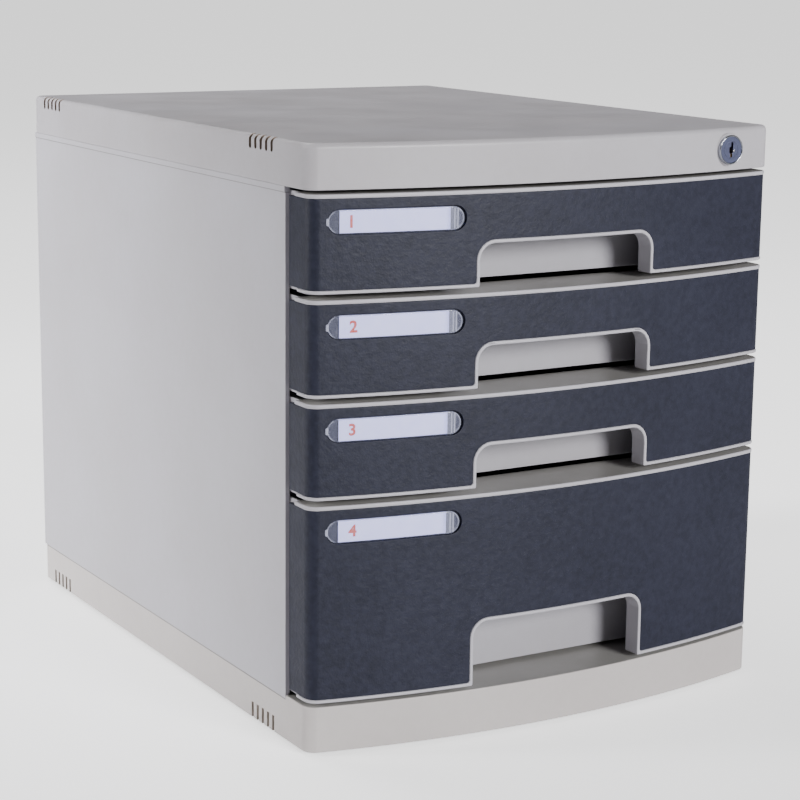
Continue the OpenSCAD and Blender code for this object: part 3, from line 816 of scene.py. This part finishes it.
def coverShell(outline, low, high, values):
    # thin moulded cover, open underneath: inner roof, inner wall, lip, outer wall, rounded edge, top
    wall = cabinet["wall"]
    root = values["root"]
    rings = [(wall + root, high - wall), (wall, high - wall - root), (wall, low)]
    rings += quarter(values["lip"], low, 3)
    rings += quarter(values["edge"], high, 6, False)
    return shell([outline], rings, onPlan)


def slotMiddles(values):
    # two rows of slots, one near the front and one near the rear
    steps = (np.arange(values["slotCount"]) - (values["slotCount"] - 1) / 2) * values["slotPitch"]
    return np.concatenate([panelY + values["slotFront"] + steps, backY - values["slotRear"] + steps])


def slotCutters(values, bottom, top, roundBottom):
    # uprights through both side walls, their lower ends half round where asked
    half = values["slotWidth"] / 2
    radius = half * 0.99 if roundBottom else 0
    parts = []
    for y in slotMiddles(values):
        loop = roundedLoop([(y - half, bottom, radius), (y + half, bottom, radius),
                            (y + half, top, 0), (y - half, top, 0)])
        for side in (-1, 1):
            ends = sorted((side * (halfWidth - values["slotDepth"]), side * (halfWidth + past)))
            parts.append(shell([loop], [(0, ends[0]), (0, ends[1])], onSide))
    return parts


def slotWalls(mesh, values, slack=0.02 * mm, depthSlack=0.2 * mm, sideways=0.4):
    # faces inside the slots, which take the painted slot shade: within half a slot of its middle, near the
    # side, not facing sideways
    centre = rowsOf(mesh.polygons, "center")
    normal = rowsOf(mesh.polygons, "normal")
    gap = np.abs(centre[:, 1][:, None] - slotMiddles(values)).min(1)
    near = np.abs(centre[:, 0]) > halfWidth - values["slotDepth"] - depthSlack
    return (gap < values["slotWidth"] / 2 + slack) & near & (np.abs(normal[:, 0]) < sideways)


def ledgeFaces(mesh, level, slack=0.05 * mm, upright=0.99):
    # faces at that height that look straight up; the ledges' tops among them take a painted shade
    centre = rowsOf(mesh.polygons, "center")
    normal = rowsOf(mesh.polygons, "normal")
    return (np.abs(centre[:, 2] - level) < slack) & (normal[:, 2] > upright)


def crossRibs(roof, values):
    # ribs from side to side under the roof, spaced evenly over the side panels' depth
    half = halfWidth - cabinet["wall"] - values["root"]
    width = values["ribWidth"] / 2
    low = roof - values["ribHeight"]
    high = roof + values["ribSink"]
    middles = np.linspace(panelY, backY, values["ribCount"] + 2)[1:-1]
    return [boxPart((-half, y - width, low), (half, y + width, high)) for y in middles]


def makeLid(values):
    # cover with slots and the lock's bore cut through; the lock's boss, ribs and screw bosses inside
    low, high = (corner.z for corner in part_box("lid"))
    outline = planOutline(0, values["setback"], backY, cabinet["cornerRadius"], cabinet["rearRadius"])
    lid = makeObject("lidCover", [coverShell(outline, low, high, values)])
    bore = circleLoop((lockX, lockZ), values["lockBore"])
    ends = [(0, lockLow.y - values["drillFront"]), (0, lockLow.y + values["drillBack"])]
    cutters = slotCutters(values, high - values["slotHeight"], high + past, True)
    cutters.append(shell([bore], ends, onFace))
    combine(lid, makeObject("lidCutters", cutters), "DIFFERENCE")
    # the slot walls take the painted slot shade
    dress(lid, ("lid", "paintedSlotShade"), slotWalls(lid.data, values))
    deep = -values["lockBossDepth"]
    seat = bossPart(values["lockBore"], values["lockBoss"], deep, values["lockChamfer"], 64)
    boss = bossPart(screw["bore"], screw["boss"], high - low - values["bossTop"], values["bossChamfer"])
    parts = [move(seat, faceFront, (lockX, seatY, lockZ))] + crossRibs(high - cabinet["wall"], values)
    parts += [move(boss, None, (side * screwX, y, low)) for side in (-1, 1) for y in screwYs]
    joinInto(lid, makeObject("lidInside", parts))
    finishPiece(lid, "lid", "cabinet", "lid")


def makeBase(values):
    # cover with the front ledge added and slots cut through; ribs and the feet's bosses inside
    low, ledge = (corner.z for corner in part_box("base"))
    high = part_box("left_side_panel")[0].z
    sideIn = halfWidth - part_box("base")[1].x
    radius = cabinet["cornerRadius"]
    outline = planOutline(sideIn, values["setback"], backY, radius, cabinet["rearRadius"])
    base = makeObject("baseCover", [coverShell(outline, low, high, values)])
    front = planOutline(sideIn, values["setback"], panelY - values["ledgeGap"], radius, 0)
    rings = [(0, high - values["ledgeSink"])] + quarter(values["ledgeRound"], ledge, 3, False)
    combine(base, makeObject("baseLedge", [shell([front], rings, onPlan)]), "UNION", "EXACT")
    cutters = slotCutters(values, low - past, low + values["slotHeight"], False)
    combine(base, makeObject("baseCutters", cutters), "DIFFERENCE", "EXACT")
    # the slot walls take the paler painted slot shade
    index = slotWalls(base.data, values) + 2 * ledgeFaces(base.data, ledge)
    # and the ledge's top takes the painted ledge shade
    dress(base, ("base", "palePaintedSlotShade", "ledge"), index)
    feetLow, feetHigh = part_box("rubber_feet")
    boss = bossPart(foot["bore"], foot["boss"], high - low - values["bossTop"], foot["bevel"], 48)
    parts = crossRibs(high - cabinet["wall"], values)
    for x in (feetLow.x + foot["radius"], feetHigh.x - foot["radius"]):
        for y in (feetLow.y + foot["radius"], feetHigh.y - foot["radius"]):
            parts.append(move(boss, None, (x, y, low)))
    joinInto(base, makeObject("baseInside", parts))
    finishPiece(base, "base", "cabinet", "base")


makeLid(lidShape)
makeBase(baseShape)
print("lid and base made")

panels = {"left_side_panel": "leftPanel", "right_side_panel": "rightPanel", "back_panel": "backPanel"}
for node, name in panels.items():
    softened(node, name, 0.45 * mm, "panel", "cabinet")
print("panels made")


# drawer fronts, depths counted from the front arc
drawerFront = {
    "topLip": 2.3 * mm,
    "bottomLip": 1.9 * mm,
    "round": 0.75 * mm,  # rounding of the light trim
    "ledgeDepth": 35 * mm,
    "fasciaFront": 0.4 * mm,
    "fasciaBack": 2.4 * mm,
    "fasciaRound": 0.35 * mm,
    "fasciaGap": 0.05 * mm,  # between fascia and notch rim
    "fasciaCorner": 1.6 * mm,  # lower corners of the fascia beside the notch
    "notchWidth": 116 * mm,
    "notchRadius": 11 * mm,
    "notchRim": 2 * mm,
    "notchDepth": 10.5 * mm,
    "notchHeight": {1: 25.2 * mm, 2: 25.2 * mm, 3: 25.2 * mm, 4: 38.4 * mm},
    "mouthCorner": 1.0 * mm,
    "deepHalf": 62 * mm,  # the trim is as deep as the notch this far from the middle
    "deepFade": 14 * mm,  # and over this length
    "lipDepth": 4 * mm,  # it gets as shallow as this
    "skinFront": 2.45 * mm,
    "skinBack": 4.05 * mm,
    "skinRound": 0.3 * mm,
    "skinLap": 1 * mm,  # reach of the skin over the notch rim
    "skinReturn": 3 * mm,  # reach of its sides behind the panels' front edge
    "skinGap": 0.03 * mm,
    "plateIn": 3 * mm,  # bottom plates behind the front surface
    "plateCorner": 5 * mm,
    "plateSide": 7 * mm,  # length of their edge along the notch
    "plateSlant": 14 * mm,  # from there to the tray they end this much farther out
    "plateGap": 0.04 * mm,
    "screwX": 120 * mm,
    "screwLow": 12 * mm,
    "screwHigh": 16 * mm,
    "bossSink": 1.2 * mm,  # reach of the bosses into the skin
}
label = {
    "length": 75.7 * mm,
    "height": 12.6 * mm,
    "front": 0.5 * mm,
    "back": 1.6 * mm,
    "middleX": -102.5 * mm,
    "drop": 14.4 * mm,  # middle below the drawer front's top
    "gap": 0.1 * mm,
    "endGap": 0.9 * mm,  # dark gap beside the cover's right end
    "rim": 0.35 * mm,
    "bead": 0.7 * mm,  # inset of the bead round the cover
    "beadRise": 0.08 * mm,
    "flats": (1.6 * mm, 1.1 * mm),  # insets of two lines that part the flat from the bead
    "ridges": (1.6 * mm, 3.4 * mm),  # from the card's right end
    "ridgeWidth": 0.5 * mm,
    "ridgeHeight": 10.8 * mm,
    "ridgeRise": 0.2 * mm,
    "pocketGap": 0.4 * mm,
    "pocketBack": 1.95 * mm,
    "pocketLap": 0.5 * mm,
    "cardLength": 60.8 * mm,
    "cardShift": -1.0 * mm,  # card's middle from the recess's middle
    "cardHeight": 11.9 * mm,
    "cardFront": 1.65 * mm,
    "cardBack": 1.9 * mm,
    "digitHeight": 6.6 * mm,
    "digitLead": 5.5 * mm,  # from the card's left end
    "digitWeight": 0.03,
    "inkLift": 0.02 * mm,
}
coverTab = {
    "length": 0.9 * mm,
    "root": 0.5 * mm,
    "tipHalf": 1.7 * mm,
    "rootHalf": 2.1 * mm,
    "tipRound": 0.6 * mm,
    "rootRound": 0.3 * mm,
    "edge": 0.12 * mm,
    "front": 0.1 * mm,
    "back": 0.39 * mm,
}
milkAndHighlight = {
    "edgeHighlightWidth": 0.8 * mm,  # painted highlight on the outline of the round ends
    "edgeHighlightFade": 0.35 * mm,
    "endLead": 1.2 * mm,  # it grows from here, over this length, between these amounts
    "endFade": 4 * mm,
    "endRange": (0.05, 0.5),
    "stripWidth": 4.6 * mm,  # strip beside the card's right end
    "strip": 0.3,
    "ridge": 0.6,
    # a painted highlight along the top edge
    "topHighlightWidth": 0.6 * mm,
    "topHighlight": 0.45,
    "elsewhere": 0.07,
}
arcX = 148 * mm


def wrap(loop):
    # x becomes the distance along the arc; points past arcX are given as distances already
    x = loop[:, 0]
    return np.stack([np.where(np.abs(x) < arcX, alongFront(x), x), loop[:, 1]], 1)


def notchCorners(z0, height, half, radius, lift, foot):
    # the notch from its lower right corner over the top to its lower left one
    return [(half, z0 + lift, foot), (half, z0 + height, radius),
            (-half, z0 + height, radius), (-half, z0 + lift, foot)]


def trimBand(number, z0, values):
    # bottom lip and notch rim in one rounded strip that follows the front
    height = values["notchHeight"][number]
    half = values["notchWidth"] / 2
    radius = values["notchRadius"]
    rim = values["notchRim"]
    depth = values["notchDepth"]
    top = z0 + values["bottomLip"]
    end = endAt(trayFrontY)
    inner = notchCorners(z0, height - rim, half - rim, radius - rim, 0, values["mouthCorner"])
    outer = notchCorners(z0, height, half, radius, values["bottomLip"], values["fasciaCorner"])
    corners = [(-end, z0, 0)] + inner[::-1] + [(end, z0, 0), (end, top, 0)] + outer + [(-end, top, 0)]

    def surface(u, v, reach):
        # the strip is deep round the notch and shallow near the front corners
        near = np.clip((np.abs(u) - values["deepHalf"]) / values["deepFade"], 0, 1)
        return onFront(u, v, np.minimum(reach, depth + (values["lipDepth"] - depth) * near))

    rings = quarter(values["round"], 0, 4) + [(0, depth * share) for share in (0.25, 0.5, 0.75, 1)]
    return shell([wrap(roundedLoop(corners))], rings, surface, frontColumns)


def frontSkin(number, z0, z1, values, rowStep=6 * mm):
    # wall behind the fascia with its returns at both sides, open at the notch
    lap = values["skinLap"]
    gap = values["skinGap"]
    edge = values["skinRound"]
    end = endAt(panelY + values["skinReturn"])
    half = values["notchWidth"] / 2 - lap
    notch = notchCorners(z0, values["notchHeight"][number] - lap, half, values["notchRadius"] - lap, gap, 0)
    corners = [(-end, z0 + gap, 0)] + notch[::-1]
    corners += [(end, z0 + gap, 0), (end, z1 - gap, 0), (-end, z1 - gap, 0)]
    rings = quarter(edge, values["skinFront"], 2)
    rings += [(0, values["skinBack"] - edge), (edge, values["skinBack"])]
    rows = np.arange(z0 + rowStep, z1, rowStep)
    return shell([wrap(roundedLoop(corners))], rings, onFront, frontColumns, rows)


def bottomPlate(side, z0, values):
    # the plan outline set in, cut off along the notch and then slantwise to the tray;
    # the points are put in order by their angle round the middle
    back = values["plateIn"]
    gap = values["plateGap"]
    half = values["notchWidth"] / 2 - values["skinLap"]
    slant = half + values["plateSlant"]
    plan = planOutline(cabinet["frontInset"] + back, back, trayFrontY, values["plateCorner"], 0)
    edgeY = arcY - math.sqrt((arcRadius - back) ** 2 - half**2)
    cut = [[side * slant, trayFrontY], [side * half, edgeY + values["plateSide"]], [side * half, edgeY]]
    loop = np.concatenate([plan[plan[:, 0] * side > slant], cut])
    middle = loop.mean(0)
    order = np.argsort(np.arctan2(loop[:, 1] - middle[1], loop[:, 0] - middle[0]))
    return shell([loop[order]], [(0, z0 + gap), (0, z0 + values["bottomLip"] - gap)], onPlan)


def makeFrontFrame(number, values):
    # top ledge, trim strip, skin, the plates beside the notch and four screw bosses
    name = f"drawer_{number}_front_frame"
    low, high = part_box(name)
    edge = values["round"]
    plan = planOutline(cabinet["frontInset"], 0, low.y + values["ledgeDepth"], cabinet["cornerRadius"], 0)
    rings = quarter(edge, high.z - values["topLip"], 4) + quarter(edge, high.z, 4, False)
    parts = [shell([plan], rings, onPlan), trimBand(number, low.z, values)]
    parts.append(frontSkin(number, low.z, high.z, values))
    parts += [bottomPlate(side, low.z, values) for side in (-1, 1)]
    reach = values["screwX"] + screw["boss"]
    skinY = arcY - math.sqrt((arcRadius - values["skinBack"]) ** 2 - reach**2)
    boss = bossPart(screw["bore"], screw["boss"], trayFrontY - skinY + values["bossSink"])
    for side in (-1, 1):
        for z in (low.z + values["screwLow"], high.z - values["screwHigh"]):
            parts.append(move(boss, faceFront, (side * values["screwX"], trayFrontY, z)))
    frontFrame = makeObject(f"frontFrame{number}", parts)
    # the ledge's top takes a painted shade
    dress(frontFrame, ("shell", "ledge"), ledgeFaces(frontFrame.data, high.z))
    finishPiece(frontFrame, "shell", f"drawer_{number}", name)


def windowLoop(z1, grow, trim=0.0):
    # outline of the recess or of the cover in it, grown all round and shortened at its right end by trim
    middle = (label["middleX"] - trim / 2, z1 - label["drop"])
    return wrap(stadiumLoop(middle, label["length"] + 2 * grow - trim, label["height"] + 2 * grow))


def makeFascia(number, values, rowStep=4 * mm):
    # facing cut out round the notch and the label's recess, and the recess's floor behind it
    z0, z1 = (corner.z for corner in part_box(f"drawer_{number}_front_frame"))
    low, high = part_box(f"drawer_{number}_fascia")
    gap = values["fasciaGap"]
    end = endAt(high.y)
    half = values["notchWidth"] / 2 + gap
    height = values["notchHeight"][number] + gap
    notch = notchCorners(z0, height, half, values["notchRadius"], low.z - z0, values["fasciaCorner"])
    corners = [(-end, low.z, 0)] + notch[::-1] + [(end, low.z, 0), (end, high.z, 0), (-end, high.z, 0)]
    loops = [wrap(roundedLoop(corners)), windowLoop(z1, label["pocketGap"])[::-1]]
    rings = quarter(values["fasciaRound"], values["fasciaFront"], 3) + [(0, values["fasciaBack"])]
    floor = windowLoop(z1, label["pocketGap"] + label["pocketLap"])
    floorRings = [(0, label["pocketBack"]), (0, values["fasciaBack"] - gap)]
    parts = [shell(loops, rings, onFront, frontColumns, np.arange(z0 + rowStep, z1, rowStep))]
    parts.append(shell([floor], floorRings, onFront, frontColumns))
    finishPiece(makeObject(f"fascia{number}", parts), "slate", f"drawer_{number}", f"drawer_{number}_fascia")


def frontStrip(left, length, middle, height, front, back):
    # flat strip bent along the front, between two depths
    low = middle - height / 2
    high = middle + height / 2
    loop = np.array([(left, low), (left + length, low), (left + length, high), (left, high)])
    return shell([wrap(loop)], [(0, front), (0, back)], onFront, frontColumns)


def digitPart(number, left, middle, height, depth):
    # a plain number set as a flat letter, scaled to the height and carried onto the curved card
    curve = bpy.data.curves.new("digit", "FONT")
    curve.body = str(number)
    curve.resolution_u = 4
    curve.offset = label["digitWeight"]
    thing = link("digit", curve)
    mesh = bpy.data.meshes.new_from_object(thing.evaluated_get(bpy.context.evaluated_depsgraph_get()))
    bpy.data.objects.remove(thing)
    points, faces = meshPart(mesh)
    flat = (points - points.min(0)) * height / np.ptp(points[:, 1])
    return onFront(alongFront(left + flat[:, 0]), middle - height / 2 + flat[:, 1], depth), faces


def makeLabel(number):
    # the card and its number, printed a hair in front of it
    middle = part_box(f"drawer_{number}_front_frame")[1].z - label["drop"]
    left = label["middleX"] + label["cardShift"] - label["cardLength"] / 2
    card = frontStrip(
        left, label["cardLength"], middle, label["cardHeight"], label["cardFront"], label["cardBack"]
    )
    inkDepth = label["cardFront"] - label["inkLift"]
    digit = digitPart(number, left + label["digitLead"], middle, label["digitHeight"], inkDepth)
    thing = makeObject(f"labelCard{number}", [card, digit])
    dress(thing, ("paper", "redInk"), np.arange(len(thing.data.polygons)) >= faceCount([card]))
    finishPiece(thing, "paper", f"drawer_{number}", f"drawer_{number}_label_card")


def coverMilk(points, middle, onRidge, values):
    # how milky the cover is, with painted highlights: a light outline of its round ends and a light line
    # along its top;
    # then the ridges, the strip beside the card, hardly anything elsewhere and nothing over the card
    x = points[:, 0] - label["middleX"] + label["endGap"] / 2
    z = points[:, 2] - middle
    run = (label["length"] - label["endGap"] - label["height"]) / 2
    radius = np.hypot(np.maximum(np.abs(x) - run, 0), z)
    edge = np.clip((radius - label["height"] / 2 + values["edgeHighlightWidth"]) / values["edgeHighlightFade"], 0, 1)
    ends = np.clip((np.abs(x) - run - values["endLead"]) / values["endFade"], *values["endRange"])
    onTopHighlight = (z > label["height"] / 2 - values["topHighlightWidth"]) & (np.abs(x) < run)
    fromCard = points[:, 0] - label["middleX"] - label["cardShift"]
    fromEnd = fromCard - label["cardLength"] / 2
    strip = np.where((fromEnd > 0) & (fromEnd < values["stripWidth"]), values["strip"], values["elsewhere"])
    flat = np.where(np.abs(fromCard) < label["cardLength"] / 2, 0.0, strip)
    highlightLines = np.maximum(edge * ends, np.where(onTopHighlight, values["topHighlight"], 0))
    return np.maximum(highlightLines, np.where(onRidge, values["ridge"], flat))


def makeWindow(number, tab):
    # clear cover with a bead round it, two ridges beside the card and a small tab at its left end
    z1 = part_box(f"drawer_{number}_front_frame")[1].z
    middle = z1 - label["drop"]
    front = label["front"]
    back = label["back"]
    wide, narrow = label["flats"]
    rings = [(wide, front), (narrow, front), (label["bead"], front - label["beadRise"])]
    rings += quarter(label["rim"], front, 3) + [(0, back), (narrow, back), (wide, back)]
    parts = [shell([windowLoop(z1, -label["gap"], label["endGap"])], rings, onFront, frontColumns)]
    cardEnd = label["middleX"] + label["cardShift"] + label["cardLength"] / 2
    for x in label["ridges"]:
        parts.append(frontStrip(cardEnd + x, label["ridgeWidth"], middle, label["ridgeHeight"],
                                front - label["ridgeRise"], front + label["gap"]))
    rootX = label["middleX"] - label["length"] / 2 + tab["root"]
    tipX = rootX - tab["root"] - tab["length"]
    loop = roundedLoop([
        (tipX, middle - tab["tipHalf"], tab["tipRound"]),
        (rootX, middle - tab["rootHalf"], tab["rootRound"]),
        (rootX, middle + tab["rootHalf"], tab["rootRound"]),
        (tipX, middle + tab["tipHalf"], tab["tipRound"]),
    ], 4)
    parts.append(shell([wrap(loop)], quarter(tab["edge"], tab["front"], 2) + [(0, tab["back"])], onFront))
    thing = makeObject(f"labelWindow{number}", parts)
    points = rowsOf(thing.data.vertices, "co")
    order = np.arange(len(points))
    starts = np.cumsum([len(part[0]) for part in parts])
    # milky share and painted edge highlights of each point, kept in the rim attribute
    milkAndHighlightShare = coverMilk(points, middle, (order >= starts[0]) & (order < starts[2]), milkAndHighlight)
    thing.data.attributes.new("rim", "FLOAT", "POINT").data.foreach_set("value", milkAndHighlightShare.astype(np.float32))
    finishPiece(thing, "clear", f"drawer_{number}", f"drawer_{number}_label_window")


for number in (1, 2, 3, 4):
    makeFrontFrame(number, drawerFront)
    makeFascia(number, drawerFront)
    makeLabel(number)
    makeWindow(number, coverTab)
    # the tray takes the darker painted-shade copy of the shell plastic
    softened(f"drawer_{number}_tray", f"tray{number}", 0.4 * mm, "tray", f"drawer_{number}")
    print("drawer made:", number)


# cylinder lock at the right of the lid's front
lock = {
    "bezelRadius": 8.3 * mm,
    "bezelHeight": 2.0 * mm,
    "bezelBevel": 0.3 * mm,
    "crown": 0.6 * mm,  # height of the bezel's rounded top
    "faceRadius": 7.3 * mm,
    "faceDepth": 0.5 * mm,
    "faceThickness": 0.5 * mm,
    "floor": 0.1 * mm,  # bezel's floor below the face
    "mouth": 0.05 * mm,  # bevel round the plug
    "plugRadius": 4.75 * mm,
    "plugGap": 0.08 * mm,
    "plugRound": 0.04 * mm,
    "barrelRadius": 6.5 * mm,
    "keyDepth": 8.0 * mm,
    # keyway from the plug's middle: x, z and corner radius in millimetres
    "keyway": [(-0.5, -4.3, 0.3), (0.9, -4.3, 0.3), (0.9, -1.9, 0.08), (1.4, -1.9, 0.3), (1.4, 4.2, 0.3),
               (0, 4.2, 0.3), (0, 1.6, 0.08), (-1.3, 1.6, 0.5), (-1.3, -1.9, 0.5), (-0.5, -1.9, 0.08)],
    "wafers": 3,
    "waferLead": 0.9 * mm,
    "waferPitch": 2.2 * mm,
    "waferThickness": 0.7 * mm,
    "waferHalf": 1.2 * mm,
    "waferLow": -4.25 * mm,
    "waferHigh": -2.3 * mm,
    "waferRise": 0.6 * mm,  # each wafer stands this much higher than the one before it
    "stud": 0.75 * mm,  # bright stud beside the keyhole
    "studHeight": 0.4 * mm,
    "studSink": 0.3 * mm,
    "studPlace": (1.9 * mm, -0.7 * mm),
}


def makeHousing(values):
    # turned ring: rounded chrome bezel, flat face inside it, barrel behind
    outer = values["bezelRadius"]
    inner = values["faceRadius"]
    barrel = values["barrelRadius"]
    hole = values["plugRadius"] + values["plugGap"]
    top = values["bezelHeight"]
    level = top - values["faceDepth"]
    under = level - values["faceThickness"]
    floor = level - values["floor"]
    back = seatY - lockHigh.y
    bevel = values["bezelBevel"]
    middle = ((outer + inner) / 2, top - values["crown"])
    crown = arcRows(middle, ((outer - inner) / 2, values["crown"]), 0, math.pi, 8)
    bezel = [(barrel, 0), (outer - bevel, 0), (outer, bevel)] + crown + [(inner, floor), (barrel, floor)]
    face = [(hole, back), (barrel, back), (barrel, under), (inner - hair, under), (inner - hair, level),
            (hole + values["mouth"], level), (hole, level - values["mouth"])]
    parts = [move(lathe(profile, 96, True), faceFront, (lockX, seatY, lockZ)) for profile in (bezel, face)]
    thing = makeObject("lockHousing", parts)
    dress(thing, ("chrome", "lockFace"), np.arange(len(thing.data.polygons)) >= faceCount(parts[:1]))
    finishPiece(thing, "chrome", "cabinet", "lock_housing")


def makePlug(values):
    # disc with a warded keyway, the solid tail behind it, brass wafers in the keyway and the stud
    front, back = (corner.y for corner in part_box("lock_plug"))
    floor = front + values["keyDepth"]
    middle = np.array([lockX, lockZ])
    disc = circleLoop(middle, values["plugRadius"], 72)
    keyway = roundedLoop(values["keyway"], 3)[::-1] * mm + middle
    parts = [shell([disc, keyway], quarter(values["plugRound"], front, 2) + [(0, floor)], onFace)]
    parts.append(shell([disc], [(0, floor + hair), (0, back)], onFace))
    for k in range(values["wafers"]):
        y = front + values["waferLead"] + k * values["waferPitch"]
        low = (-values["waferHalf"], values["waferLow"])
        high = (values["waferHalf"], values["waferHigh"] + k * values["waferRise"])
        wafer = np.array([low, (high[0], low[1]), high, (low[0], high[1])]) + middle
        parts.append(shell([wafer], [(0, y), (0, y + values["waferThickness"])], onFace))
    dome = [(0, -values["studSink"])]
    dome += arcRows((0, 0), (values["stud"], values["studHeight"]), 0, math.pi / 2, 4)
    x, z = middle + values["studPlace"]
    parts.append(move(lathe(dome, 20), faceFront, (x, front, z)))
    thing = makeObject("lockPlug", parts)
    order = np.arange(len(thing.data.polygons))
    index = (order >= faceCount(parts[:2])) * 1 + (order >= faceCount(parts[:-1]))
    dress(thing, ("lockFace", "brass", "chrome"), index)
    finishPiece(thing, "chrome", "lock_plug", "lock_plug")


makeHousing(lock)
makePlug(lock)
for node, name, width, body in (
    ("lock_bar", "lockBar", 0.2 * mm, "lock_bar"),
    ("bar_pawls", "barPawls", 0.25 * mm, "lock_bar"),
    ("bar_guides", "barGuides", 0.2 * mm, "cabinet"),
    ("lock_nut", "lockNut", 0.3 * mm, "cabinet"),
    ("lock_cam", "lockCam", 0.2 * mm, "lock_plug"),
):
    softened(node, name, width, "steel", body)
print("lock made")


def makeScrews(name, node, body, places, length, turn, values):
    # a turned pan head pointing down with its shank up, two crossing blocks cut out of the head,
    # and the screw copied to every place
    head = values["head"]
    height = values["height"]
    rim = values["rim"] * height
    profile = arcRows((0, -rim), (head, rim - height), math.pi / 2, 0, 5)
    profile += [(head, 0), (values["shank"], 0), (values["shank"], length - values["point"]), (0, length)]
    one = makeObject(name, [lathe(profile, 32)])
    long = values["cross"] / 2
    wide = values["crossWidth"] / 2
    for x, y in ((long, wide), (wide, long)):
        block = boxPart((-x, -y, -height - past), (x, y, values["crossDepth"] - height))
        combine(one, makeObject("cross", [block]), "DIFFERENCE")
    part = meshPart(one.data)
    bpy.data.objects.remove(one)
    finishPiece(makeObject(name, [move(part, turn, place) for place in places]), "steel", body, node)


for node, name in (("base_screws", "baseScrews"), ("lid_screws", "lidScrews")):
    low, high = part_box(node)
    places = [(side * screwX, y, low.z + screw["height"]) for side in (-1, 1) for y in screwYs]
    makeScrews(name, node, "cabinet", places, high.z - low.z - screw["height"], None, screw)
for number in (1, 2, 3, 4):
    node = f"drawer_{number}_front_screws"
    low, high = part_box(node)
    places = [
        (side * drawerFront["screwX"], high.y - screw["height"], z)
        for side in (-1, 1) for z in (low.z + screw["head"], high.z - screw["head"])
    ]
    length = high.y - low.y - screw["height"]
    makeScrews(f"frontScrews{number}", node, f"drawer_{number}", places, length, faceFront, screw)


def makeFeet(values):
    # turned pad with a rounded foot and a shallow dimple, its stud plugged into the base
    low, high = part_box("rubber_feet")
    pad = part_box("base")[0].z - low.z
    top = high.z - low.z
    radius = values["radius"]
    edge = values["round"]
    stud = values["stud"]
    bevel = values["bevel"]
    deep = values["dimpleDepth"]
    profile = [(0, deep), (values["dimpleFloor"], deep), (values["dimple"], 0)]
    profile += arcRows((radius - edge, edge), (edge, edge), -math.pi / 2, 0, 4)
    profile += [(radius, pad), (stud, pad), (stud, top - bevel), (stud - bevel, top), (0, top)]
    xs = (low.x + radius, high.x - radius)
    ys = (low.y + radius, high.y - radius)
    places = [(x, y, low.z) for x in xs for y in ys]
    feet = makeObject("rubberFeet", [move(lathe(profile), None, place) for place in places])
    finishPiece(feet, "rubber", "cabinet", "rubber_feet")


makeFeet(foot)
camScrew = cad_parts["cam_screw"].data
camScrew.materials.clear()
camScrew.materials.append(finishes["steel"])
print("screws and feet made")


# studio
studio = {
    "floorSize": 60.0,
    "floorTone": (238, 238, 240),
    "floorShade": (230, 230, 232),
    "worldTone": (1.0, 1.0, 1.0),
    "worldStrength": 0.04,
    "paleness": 1.3,  # how bright the bare floor and the space beyond it look to the eye
    "lights": [
        # name, kind, place, aim, size, power
        ("key", "AREA", (1.2, -5.1, 1.75), (0, -0.1, 0.17), 1.9, 345),
        ("fillLeft", "SPOT", (-2.05, 0.95, 0.8), (-0.15, 0.5, 0.22), 0.4, 420),
        ("topRear", "AREA", (-0.4, 1.6, 2.6), (0, 0, 0.33), 1.6, 48),
    ],
    "spotAngle": 46,  # full cone of the spot, fading from its middle to its edge
}


def makeFloor(values):
    # one large square with a slow tone drift; it glows to the eye only, so it adds no light
    finish = Finish("floor")
    drift = finish.ramp(finish.noise(0.9, 2.0), 0.3, 0.7)
    eye = finish.node("ShaderNodeLightPath", output="Is Camera Ray")
    material = finish.surface({
        "Base Color": finish.blend(drift * 0.2, tone(*values["floorTone"]), tone(*values["floorShade"])),
        "Roughness": finish.ramp(drift, 0, 1, 0.75, 0.85),
        "Emission Color": finish.blend(eye, (0, 0, 0, 1), (1, 1, 1, 1)),
        "Emission Strength": values["paleness"],
    })
    half = values["floorSize"] / 2
    mesh = bpy.data.meshes.new("floor")
    corners = [(-half, -half, 0), (half, -half, 0), (half, half, 0), (-half, half, 0)]
    mesh.from_pydata(corners, [], [(0, 1, 2, 3)])
    mesh.materials.append(material)
    link("floor", mesh)


def makeLights(values):
    # each lamp looks from its place to its aim; the world is dim as a light and pale to the eye
    for name, kind, place, aim, size, power in values["lights"]:
        data = bpy.data.lights.new(name, kind)
        data.energy = power
        if kind == "AREA":
            data.shape = "DISK"
            data.size = size
        else:
            data.shadow_soft_size = size
            data.spot_size = math.radians(values["spotAngle"])
            data.spot_blend = 1.0
        light = link(name, data)
        light.visible_camera = False
        turn = (Vector(aim) - Vector(place)).to_track_quat("-Z", "Y")
        light.matrix_world = Matrix.Translation(place) @ turn.to_matrix().to_4x4()
    world = bpy.data.worlds.new("studio")
    bpy.context.scene.world = world
    world.use_nodes = True
    nodes = world.node_tree.nodes
    path = nodes.new("ShaderNodeLightPath")
    level = nodes.new("ShaderNodeMapRange")
    level.inputs["To Min"].default_value = values["worldStrength"]
    level.inputs["To Max"].default_value = values["paleness"] + values["worldStrength"]
    world.node_tree.links.new(path.outputs["Is Camera Ray"], level.inputs["Value"])
    world.node_tree.links.new(level.outputs["Result"], nodes["Background"].inputs["Strength"])
    nodes["Background"].inputs["Color"].default_value = (*values["worldTone"], 1)


makeFloor(studio)
makeLights(studio)
print("studio lit")

bpy.context.view_layer.update()
